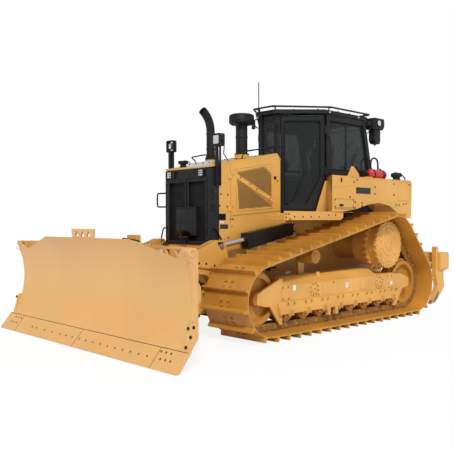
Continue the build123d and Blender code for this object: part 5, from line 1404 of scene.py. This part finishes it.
def makeFenders(values):
    top = box("fenders")[1][2]
    capX, capY = values["capAt"]
    for turn, word in sides:
        y = turn * values["side"]
        form = Form()
        form.bolts([(x, y, z) for x, z in values["bolts"]], (0, turn, 0), 10)
        form.bolts([(x, y + turn * 12, z) for x, z in ((-74, 1660), (-74, 1760), (-500, 1660), (-500, 1760))],
                   (0, turn, 0), 8)
        form.bolts([(x, turn * a, top) for x in (-560, -1180, -2080) for a in (760, 1060)], (0, 0, 1), 10)
        form.done("fenderBolts" + word, "boltDark")
        # bare black plate and the bare rear panel
        form = Form()
        x0, x1, z0, z1 = values["plate"]
        form.plate(rect(x0, z0, x1, z1), "y", *faceSpan(y, turn, -1, 3))
        form.done("fenderPlate" + word, "plateBlack", soft=1.2)
        form = Form()
        x0, x1, z0, z1 = values["rearPanel"]
        outer = rounded(rect(x0, z0, x1, z1), 16)
        inner = rounded(rect(x0 + 14, z0 + 14, x1 - 14, z1 - 14), 12)
        form.frameRing(outer, inner, lambda p, d: (p[0], y + turn * (-1 + 6 * d), p[1]))
        # pressed edges of the fender's side: top fold, crease, arch's rolled lip
        form.tube([(-450, y, top - 6), (-2130, y, top - 6)], 7, 8)
        form.tube([(-30, y, 1940), (-369, y, 1954), (-474, y, 1990), (-480, y, top - 10)], 5, 8, 30)
        form.skin([[(x, y - turn * 1, z), (x, y + turn * 5, z), (x, y + turn * 5, z - 5), (x, y - turn * 1, z - 5)]
                   for x, z in ((-60, 1583), (-520, 1583))])
        form.done("fenderEdges" + word, "bodyYellow", soft=1.5)
        # toolbox: lid's seam and latch
        form = Form()
        yy = y + turn * 12
        x0, x1, z0, z1 = values["boxAt"]
        outer = rect(x0, z0, x1, z1)
        inner = rect(x0 + 4, z0 + 4, x1 - 4, z1 - 4)
        form.frameRing(outer, inner, lambda p, d: (p[0], yy + turn * (-1 + 1.8 * d), p[1]))
        form.done("toolboxSeam" + word, "seamShade")
        form = Form()
        form.plate(rounded(rect(-262, 1664, -168, 1698), 15), "y", *faceSpan(yy, turn, 0, 5))
        form.turned((-215, yy + turn * 4, 1681), (0, turn, 0), [(13, 0), (13, 5), (8, 7)], 18)
        form.plate(rect(-240, 1676, -190, 1686), "y", *faceSpan(yy, turn, 5, 11))
        form.done("toolboxLatch" + word, "boltDark", soft=1)
        # slot in the side, then bracket, box, cap and hand bars on the top
        form = Form()
        form.plate(rounded(rect(-250, 2010, -216, 2076), 14), "y", *sideSpan(turn, 1098, 1104))
        form.done("fenderSlot" + word, "rubberBlack")
        form = Form()
        form.skin([[(-640, turn * a, top), (-958, turn * a, top), (-940, turn * a, top + 66),
                    (-800, turn * a, top + 176), (-762, turn * a, top + 176)] for a in (892, 908)])
        form.skin([[(-1010, turn * 1000, top), (-1010, turn * 920, top), (-1180, turn * 920, top),
                    (-1180, turn * 1000, top)],
                   [(-1018, turn * 990, top + 26), (-1018, turn * 930, top + 26), (-1172, turn * 930, top + 26),
                    (-1172, turn * 990, top + 26)]])
        form.done("fenderBracket" + word, "bodyYellow", soft=3)
        form = Form()
        form.turned((capX, turn * capY, top), (0, 0, 1), [(74, 0), (74, 14), (58, 20), (58, 52), (80, 60), (84, 70),
                                                          (84, 108), (70, 122), (22, 128)], 30)
        for x, knobY, z in ringPoints((capX, turn * capY, top + 66), 82, values["capBolts"], "z"):
            form.turned((x, knobY, z), (0, 0, 1), [(6, 0), (9, 4), (9, 38), (6, 44)], 8)
        form.tube([(-1930, turn * 985, top + 90), (-2020, turn * 1000, top + 96), (-2080, turn * 1010, top + 40),
                   (-2084, turn * 1010, top)], 10, 8, 40)
        form.tube([(-1488, turn * 750, top), (-1488, turn * 750, 2410), (-1540, turn * 750, 2465),
                   (-1640, turn * 750, 2465), (-1691, turn * 750, 2410), (-1691, turn * 750, top)], 14, 10, 40)
        form.tube([(-1090, turn * 800, top), (-1090, turn * 800, 2240), (-1020, turn * 800, 2300),
                   (-940, turn * 760, 2300)], 10, 8, 40)
        form.done("fenderTopParts" + word, "matPlastic")
        # anti-slip ribs on the walking surface
        form = Form()
        for k in range(values["treads"]):
            x = values["treadFrom"] - values["treadPitch"] * k
            form.plate(rounded(rect(x - 18, turn * 720, x + 18, turn * 860), 12), "z", top - 1, top + 4)
        form.done("fenderTreads" + word, "rubberBlack", soft=1)


makeFenders(fenderValues)

bottleValues = {"y": 850, "z": 2191, "radius": 80, "straps": (-1600, -1350)}


def makeBottle(values):
    # the extinguisher: a red bottle with straps, neck, gauge and hose
    foot = box("extinguisher")[0][2]
    y, z, r = values["y"], values["z"], values["radius"]
    red, dark, steel = Form(), Form(), Form()
    red.turned((-1700, y, z), (1, 0, 0), [(20, 0), (56, 6), (74, 22), (r, 48), (r, 396), (74, 424), (56, 440),
                                          (34, 448), (30, 462)], 40)
    dark.turned((-1252, y, z), (1, 0, 0), [(30, 0), (34, 4), (34, 26), (24, 30), (24, 60), (16, 64)], 20)
    dark.tube([(-1215, y, z), (-1215, y, z + 54), (-1260, y, z + 72), (-1350, y, z + 88), (-1380, y - 40, z + 78)], 9,
              8, 24)
    steel.turned((-1222, y - 26, z), (0, -1, 0), [(16, 0), (16, 12), (12, 18)], 18)
    for x in values["straps"]:
        rows = []
        for k in range(36):
            a = math.tau * k / 36
            c, s = math.cos(a), math.sin(a)
            rows.append([(x - 15, y + 80.5 * c, z + 80.5 * s), (x + 15, y + 80.5 * c, z + 80.5 * s),
                         (x + 15, y + 84 * c, z + 84 * s), (x - 15, y + 84 * c, z + 84 * s)])
        dark.skin(rows, loop=True)
        dark.slab(x - 14, x + 14, y - 10, y + 10, z + 80, z + 100)
        dark.plate([(y - 60, foot), (y + 60, foot), (y + 48, z - 58), (y - 48, z - 58)], "x", x - 25, x + 25)
    red.done("extinguisherBottle", "bottleRed", hides=("extinguisher",))
    dark.done("extinguisherStraps", "boltDark", soft=1.2)
    steel.done("extinguisherGauge", "bareSteel", soft=0.6)


makeBottle(bottleValues)

stepValues = {
    "side": 1100,
    "bolts": [(963, 1549), (904, 1549), (963, 1503), (884, 1484), (792, 1513),
              (279, 1511), (65, 1540), (-95, 1540), (620, 1513), (450, 1513)],
    "teethFrom": -262, "teethTo": 970, "toothPitch": 34,
    "buttons": (30, 3), "buttonPitch": (41, 58), "buttonsFrom": (-230, 940),
}


def makeSteps(values):
    for turn, word in sides:
        form = Form()
        form.bolts([(x, turn * values["side"], z) for x, z in values["bolts"]], (0, turn, 0), 9)
        form.done("stepBolts" + word, "boltDark")
        form = Form()
        # serrated edge and round buttons of the anti-slip plate
        x = values["teethFrom"]
        while x < values["teethTo"]:
            form.plate([(x, 1574), (x + 26, 1574), (x + 21, 1586), (x + 13, 1590), (x + 5, 1586)], "y",
                       *sideSpan(turn, 1082, 1098))
            x += values["toothPitch"]
        (alongCount, acrossCount), (alongPitch, acrossPitch) = values["buttons"], values["buttonPitch"]
        firstX, firstY = values["buttonsFrom"]
        for i in range(alongCount):
            for j in range(acrossCount):
                away = firstY + acrossPitch * j + (20 if i % 2 else 0)
                form.turned((firstX + alongPitch * i, turn * away, 1554.5), (0, 0, 1),
                            [(15, 0), (13, 5), (9, 5.5), (8, 2)], 12)
        form.tube([(984, turn * 1089, 1470), (984, turn * 1089, 1574)], 7, 8)
        form.done("stepTreads" + word, "bodyYellow")


makeSteps(stepValues)

tankValues = {
    "cap": (-1900, 420, 2100), "back": -2139, "barsAt": (-520, 520), "ribsAt": (-400, 0, 400),
    "boltRows": (-600, -200, 200, 600), "boltsUp": (1560, 1820, 2040), "foldHalf": 660,
}


def makeTank(values):
    form, dark = Form(), Form()
    capX, capY, capZ = values["cap"]
    back, half = values["back"], values["foldHalf"]
    # filler cap with its handle, and the hand bars on the tank's back
    form.turned((capX, capY, capZ), (0, 0, 1), [(72, 0), (72, 10), (60, 16), (60, 40), (66, 46), (66, 66), (50, 76),
                                                (14, 80)], 30)
    form.tube([(capX + 60, capY, capZ + 76), (capX, capY, capZ + 96), (capX - 60, capY, capZ + 76)], 7, 8, 30)
    for y in values["barsAt"]:
        form.tube([(-2146, y - 90, 1760), (-2164, y - 90, 1790), (-2164, y - 90, 1990), (-2146, y - 90, 2020)], 10, 8,
                  20)
    form.done("tankCap", "matPlastic")
    for y in values["boltRows"]:
        dark.bolts([(back - 1, y, z) for z in values["boltsUp"]], (-1, 0, 0), 11)
    dark.done("tankBolts", "boltDark")
    form = Form()
    for y in values["ribsAt"]:
        form.plate([(back, 1500), (back, 2070), (back - 7, 2064), (back - 7, 1506)], "y", y - 16, y + 16)
    for z in (2086, 1480):
        form.tube([(back - 4, -half, z), (back - 4, half, z)], 6, 8)
    form.done("tankRibs", "bodyYellow", soft=3)


makeTank(tankValues)

print("stage: tracks")
trackValues = {
    "y": 1080, "half": 380, "shoes": 46, "radius": 376,
    "wheels": [(1600, 500), (-1180, 1095), (-1720, 500)],
    "boltRows": (-58, 58), "boltAlong": (62, 118), "plateOut": 64,
    "linksAt": (-85, 85),
    # a link's outline: share of the pitch, and how far out from the chain's line
    "linkRim": [(0.02, -30), (0.02, 26), (0.16, 36), (0.36, 36), (0.5, 22), (0.64, 36), (0.86, 36),
                (0.98, 26), (0.98, -30), (0.84, -42), (0.66, -44), (0.5, -38), (0.34, -44), (0.16, -42)],
}


def chainLine(values):
    # the chain's line from the front wheel's top backwards: lengths of runs and arcs
    wheels, runs = values["wheels"], []
    count = len(wheels)
    headings = [math.atan2(wheels[(k + 1) % count][1] - wheels[k][1], wheels[(k + 1) % count][0] - wheels[k][0])
                for k in range(count)]
    for k in range(count):
        (x0, z0), (x1, z1) = wheels[k], wheels[(k + 1) % count]
        runs.append((math.hypot(x1 - x0, z1 - z0), "line", (x0, z0, headings[k])))
        runs.append(((headings[(k + 1) % count] - headings[k]) % math.tau * values["radius"], "arc",
                     (x1, z1, headings[k])))
    total = sum(run[0] for run in runs)

    def at(distance, offset):
        distance %= total
        for length, kind, (x, z, heading) in runs:
            if distance <= length:
                break
            distance -= length
        outward = heading - math.pi / 2
        reach = values["radius"] + offset
        if kind == "line":
            x += distance * math.cos(heading)
            z += distance * math.sin(heading)
        else:
            outward += distance / values["radius"]
        return x + reach * math.cos(outward), z + reach * math.sin(outward), outward

    return at, total


def makeTracks(values):
    at, total = chainLine(values)
    pitch = total / values["shoes"]
    for turn, word in sides:
        middle = turn * values["y"]
        bolts, links, pins, edges = Form(), Form(), Form(), Form()
        for k in range(values["shoes"]):
            start = k * pitch
            # two pairs of bolts on every shoe
            for along in values["boltAlong"]:
                x, z, angle = at(start + along, values["plateOut"])
                direction = Vector((math.cos(angle), 0, math.sin(angle)))
                for across in values["boltRows"]:
                    place = Vector((x, middle + across, z))
                    bolts.turned(place - direction * 1, direction, [(19, 0), (19, 3), (15, 4), (15, 13), (12, 15)], 6)
            # link plates with waists, and the pin's end in each; the links' darker amber is painted shade for the
            # track's shaded inner side
            for across in values["linksAt"]:
                out = 1 if across > 0 else -1
                for part in (0, 1):
                    y0 = middle + across + out * (18 if part else 19)
                    y1 = y0 + out * (13 if part else 9)
                    rim = []
                    for d, o in values["linkRim"]:
                        d = d if part == 0 else (0.78 + 0.44 * d)   # the next link's eye overlaps this one
                        x, z, _ = at(start + pitch * d, o if part == 0 else o * 0.82)
                        rim.append((x, z))
                    links.plate(rim, "y", *sorted((y0, y1)))
                x, z, _ = at(start, 0)
                pins.turned((x, middle + across + out * 30, z), (0, out, 0),
                            [(27, 0), (27, 6), (21, 9), (12, 9), (10, 5)], 16)
                x, z, _ = at(start + pitch * 0.5, 6)
                pins.turned((x, middle + across + out * 27, z), (0, out, 0), [(13, 0), (13, 4), (9, 5)], 8)
            # rolled edge of each shoe's overlap
            ring = []
            for d, o in ((pitch * 0.93, 62), (pitch * 0.985, 62), (pitch * 0.985, 67), (pitch * 0.93, 65.5)):
                x, z, _ = at(start + d, o)
                ring.append((x, z))
            edges.plate(ring, "y", middle - values["half"] + 4, middle + values["half"] - 4)
        bolts.done("shoeBolts" + word, "trackYellow")
        links.done("chainLinks" + word, "chainPaintedShade")
        pins.done("chainPins" + word, "pinSteel")
        edges.done("shoeEdges" + word, "trackYellow")


makeTracks(trackValues)

frameValues = {
    "face": 1250, "guard": 1292,
    "covers": [(581, 560), (-950, 548)],
    "plates": [(972, 600), (-155, 560), (-1290, 500)],
    "rollers": [1080, 735, 390, 45, -300, -645, -990, -1290],
    "carrier": (484, 978), "idlers": [(1600, 500), (-1720, 500)],
}


def makeTrackFrames(values):
    for turn, word in sides:
        y = turn * values["face"]
        body, dark, white, steel = Form(), Form(), Form(), Form()
        # round covers: a bolted disc with a boss
        for x, z in values["covers"]:
            body.turned((x, y - turn * 2, z), (0, turn, 0), [(98, 0), (98, 12), (88, 16), (52, 16), (48, 22),
                                                             (26, 24), (8, 24)], 40)
            dark.bolts([(px, y + turn * 13, pz) for px, _, pz in ringPoints((x, 0, z), 74, 8, "y", 0.3)],
                       (0, turn, 0), 10)
            dark.turned((x, y + turn * 22, z), (0, turn, 0), [(14, 0), (14, 4), (9, 6)], 16)
        for x, z in values["plates"]:
            white.plate(rect(x - 26, z - 34, x + 26, z + 34), "y", *faceSpan(y, turn, -1, 2))
        # welded strips, cover at the front, jack pocket, tabs
        body.plate([(1225, 640), (1225, 452), (1080, 452), (1064, 560), (1072, 655)], "y", *faceSpan(y, turn, -1, 9))
        body.tube([(1070, y + turn * 2, 650), (1060, y + turn * 2, 455)], 7, 6)
        body.tube([(-1120, y + turn * 1, 640), (-1120, y + turn * 1, 450)], 6, 6)
        body.tube([(1225, y + turn * 1, 448), (-1330, y + turn * 1, 448)], 7, 6)
        body.tube([(1060, y + turn * 1, 658), (-1320, y + turn * 1, 658)], 6, 6)
        body.plate([(400, 700), (470, 700), (470, 742), (455, 775), (415, 775), (400, 742)], "y",
                   *faceSpan(y, turn, -62, -40))
        for x in (300, -560):
            body.plate(rounded(rect(x - 90, 470, x + 90, 640), 30), "y", *faceSpan(y, turn, -1, 7))
        dark.bolts([(x, y + turn * 8, z) for x, z in ((1200, 620), (1200, 475), (1100, 475), (1100, 620))],
                   (0, turn, 0), 11)
        dark.bolts([(x, y, z) for x, z in ((479, 475), (-1180, 620), (-1290, 620), (-1290, 480), (150, 620))],
                   (0, turn, 0), 10)
        # roller guard's bolts and the ends of the rollers' shafts in their clamps
        g = turn * values["guard"]
        for x in values["rollers"]:
            steel.turned((x, g - turn * 2, 300), (0, turn, 0), [(40, 0), (40, 8), (30, 12), (12, 12), (10, 8)], 24)
            dark.bolts([(x + d, g, 420) for d in (-60, 60)], (0, turn, 0), 11)
            body.plate([(x - 62, 292), (x - 50, 330), (x + 50, 330), (x + 62, 292), (x + 40, 258), (x - 40, 258)],
                       "y", *faceSpan(g, turn, -1, 5))
        # carrier roller's end and its bolts
        x, z = values["carrier"]
        steel.turned((x, turn * 1209, z), (0, turn, 0), [(62, 0), (62, 6), (50, 12), (20, 14), (16, 10)], 30)
        dark.bolts([(px, turn * 1218, pz) for px, _, pz in ringPoints((x, 0, z), 38, 6)], (0, turn, 0), 7)
        # idlers: hub cap, bolts and the yoke's plate over it
        for x, z in values["idlers"]:
            steel.turned((x, turn * 1199, z), (0, turn, 0), [(84, 0), (84, 6), (70, 14), (30, 16), (26, 10)], 32)
            dark.bolts([(px, turn * 1206, pz) for px, _, pz in ringPoints((x, 0, z), 60, 6)], (0, turn, 0), 9)
            out = 1 if x > 0 else -1
            body.plate([(x - out * 440, z + 118), (x - out * 330, z + 140), (x - out * 90, z + 92),
                        (x + out * 52, z + 70), (x + out * 60, z - 60), (x - out * 90, z - 96),
                        (x - out * 400, z - 110)],
                       "y", *sideSpan(turn, 1216, 1238))
            dark.bolts([(x + d * out, turn * 1238, z + e) for d,
                        e in ((20, 42), (20, -34), (-60, 44), (-60, -52), (-250, 96), (-250, -70))], (0, turn, 0), 13)
        body.done("frameDetails" + word, "chassisYellow", soft=2.5)
        dark.done("frameBolts" + word, "trackBolt")
        white.done("framePlates" + word, "plateWhite", soft=0.6)
        steel.done("rollerEnds" + word, "trackYellow", soft=1)


makeTrackFrames(frameValues)

driveValues = {"x": -1180, "z": 1095, "y": 1275, "radius": 340, "rimBolts": 24, "pads": 6, "hubBolts": 3}


def makeDrives(values):
    x, z, r = values["x"], values["z"], values["radius"]
    for turn, word in sides:
        y = turn * values["y"]
        form, dark = Form(), Form()

        def ringBand(inner, outer, high, a0=0.0, a1=math.tau, steps=64):
            rows = []
            whole = a1 - a0 > 6.2
            for k in range(steps if whole else steps + 1):
                a = a0 + (a1 - a0) * k / steps
                c, s = math.cos(a), math.sin(a)
                rows.append([(x + q * c, y + turn * h, z + q * s) for q,
                             h in ((inner, -2), (inner + 4, high), (outer - 4, high), (outer, -2))])
            form.skin(rows, loop=whole)

        ringBand(r - 62, r - 34, 7)
        ringBand(0.5 * r - 16, 0.5 * r - 2, 6)
        # kidney-shaped pads round the hub
        for k in range(values["pads"]):
            a = math.radians(-90 + 60 * k)
            ringBand(r * 0.56, r * 0.76, 9, a - 0.30, a + 0.30, 12)
        form.turned((x, y - turn * 2, z), (0, turn, 0), [(92, 0), (92, 10), (76, 14), (40, 14), (34, 20), (14, 22)],
                    40)
        for k in range(values["rimBolts"]):
            a = math.tau * k / values["rimBolts"]
            dark.bolt((x + (r - 18) * math.cos(a), y, z + (r - 18) * math.sin(a)), (0, turn, 0), 8)
        for k in range(values["hubBolts"]):
            a = math.radians(30 + 120 * k)
            dark.turned((x + 64 * math.cos(a), y + turn * 11, z + 64 * math.sin(a)), (0, turn, 0),
                        [(9, 0), (9, 5), (6, 7)], 6)
        form.done("driveRelief" + word, "chassisYellow", soft=2)
        dark.done("driveBolts" + word, "trackYellow")


makeDrives(driveValues)

print("stage: ripper and belly")
ripperValues = {
    "shanks": (-980, 0, 980), "pin": (-3260, 742),
    "mountX": -2400, "beamX": -3040,
    "linksAt": 380, "lowerLinks": 540, "upperLinks": 980,     # y, then both heights
    "cylindersAt": (190, 1180), "beamHalf": 1050, "beamTop": 884,
}


def makeRipper(values):
    pinX, pinZ = values["pin"]
    linkY, lower, upper = values["linksAt"], values["lowerLinks"], values["upperLinks"]
    cylinderY, cylinderZ = values["cylindersAt"]
    half, top = values["beamHalf"], values["beamTop"]
    beam, dark, steel, tips = Form(), Form(), Form(), Form()
    for y in values["shanks"]:
        # pocket round each shank and its pin
        for side in (-1, 1):
            beam.plate([(-3462, 600), (-3462, 880), (-3340, 900), (-3150, 900), (-3150, 590), (-3340, 570)], "y",
                       *faceSpan(y, side, 40, 60))
        steel.turned((pinX, y - 78, pinZ), (0, 1, 0), [(26, 0), (34, 3), (34, 14), (26, 18), (26, 138), (34, 142),
                                                       (34, 153), (26, 156)], 20)
        dark.bolts([(-3460, y + d, z) for d in (-50, 50) for z in (640, 840)], (-1, 0, 0), 12)
    for y in (-520, 520):
        beam.plate([(-3458, 640), (-3466, 650), (-3466, 830), (-3458, 840)], "y", y - 260, y + 260)
    for x in (-3450, -3170):
        beam.tube([(x, -half, top), (x, half, top)], 6, 8)
    for side in (-1, 1):
        for z in (lower, upper):
            for out in (-1, 1):
                steel.turned((values["beamX"], side * linkY + out * 58, z), (0, out, 0),
                             [(29, -4), (29, 10), (24, 14), (10, 14)], 20)
                dark.slab(-3062, -3018, *faceSpan(side * linkY, out, 59, 66), z + 34, z + 50)
    beam.done("beamPockets", "chassisYellow", "ripper_beam", soft=3)
    dark.done("beamBolts", "boltDark", "ripper_beam")
    steel.done("beamPins", "bareSteel", "ripper_beam", soft=0.8)
    # worn tip on each shank, with its pin
    for y in values["shanks"]:
        tips.skin([[(-2930, y - 30, 12), (-2930, y + 30, 12), (-2936, y + 30, 34), (-2936, y - 30, 34)],
                   [(-3040, y - 46, 40), (-3040, y + 46, 40), (-3072, y + 46, 150), (-3072, y - 46, 150)],
                   [(-3150, y - 44, 110), (-3150, y + 44, 110), (-3180, y + 44, 236), (-3180, y - 44, 236)]])
        tips.turned((-3120, y - 50, 140), (0, 1, 0), [(15, 0), (15, 100)], 12)
    tips.done("ripperTips", "wornSteel", "ripper_beam", soft=4)
    form, pins = Form(), Form()
    for side in (-1, 1):
        for z in (lower, upper):
            for out in (-1, 1):
                pins.turned((values["mountX"], side * linkY + out * 58, z), (0, out, 0),
                            [(29, -4), (29, 10), (24, 14), (10, 14)], 20)
        for out in (-1, 1):
            pins.turned((values["mountX"], side * cylinderY + out * 60, cylinderZ), (0, out, 0),
                        [(27, -4), (27, 8), (22, 12), (10, 12)], 20)
        form.bolts([(-2331, side * linkY, z) for z in (640, 740, 860)], (-1, 0, 0), 14)
        form.bolts([(-2331, side * 60, z) for z in (720, 820, 920, 1020, 1120)], (-1, 0, 0), 12)
    pins.done("mountPins", "bareSteel", soft=0.8)
    form.done("mountBolts", "boltDark")
    for body, z in (("ripper_lower_links", lower), ("ripper_upper_links", upper)):
        form = Form()
        for side in (-1, 1):
            form.skin([[(x, side * linkY + dy, z + 45 + dz) for dy, dz in ((-22, -2), (22, -2), (18, 10), (-18, 10))]
                       for x in (-2960, -2480)])
            for x in (-2480, -2960):
                form.turned((x, side * linkY, z + 44), (0, 0, 1), [(12, 0), (12, 8), (6, 12)], 10)
        form.done("linkRibs_" + body, "chassisYellow", body, soft=3)
    # hoses from the tank's foot down to the ripper's cylinders
    hoses = Form()
    for side in (-1, 1):
        for k in range(2):
            hoses.tube([(-2110, side * (90 + 30 * k), 1300), (-2230, side * (100 + 30 * k), 1330),
                        (-2360, side * (120 + 26 * k), 1300), (-2410, side * (150 + 20 * k), 1230)], 12, 10, 60)
    hoses.done("ripperHoses", "rubberBlack")


makeRipper(ripperValues)

bellyValues = {"covers": 4, "first": 1300, "pitch": 700, "half": (250, 300), "under": 432}


def makeBelly(values):
    # bolted covers under the main frame
    halfLong, halfWide = values["half"]
    under = values["under"]
    form, dark = Form(), Form()
    for k in range(values["covers"]):
        x = values["first"] - values["pitch"] * k
        outline = rounded(rect(x - halfLong, -halfWide, x + halfLong, halfWide), 40)
        form.plate(outline, "z", under, under + 9)
        dark.bolts([(x + dx, dy, under + 1) for dx in (-210, 0, 210) for dy in (-260, 260)], (0, 0, -1), 14)
    form.done("bellyCovers", "chassisYellow", soft=2)
    dark.done("bellyBolts", "boltDark")


makeBelly(bellyValues)
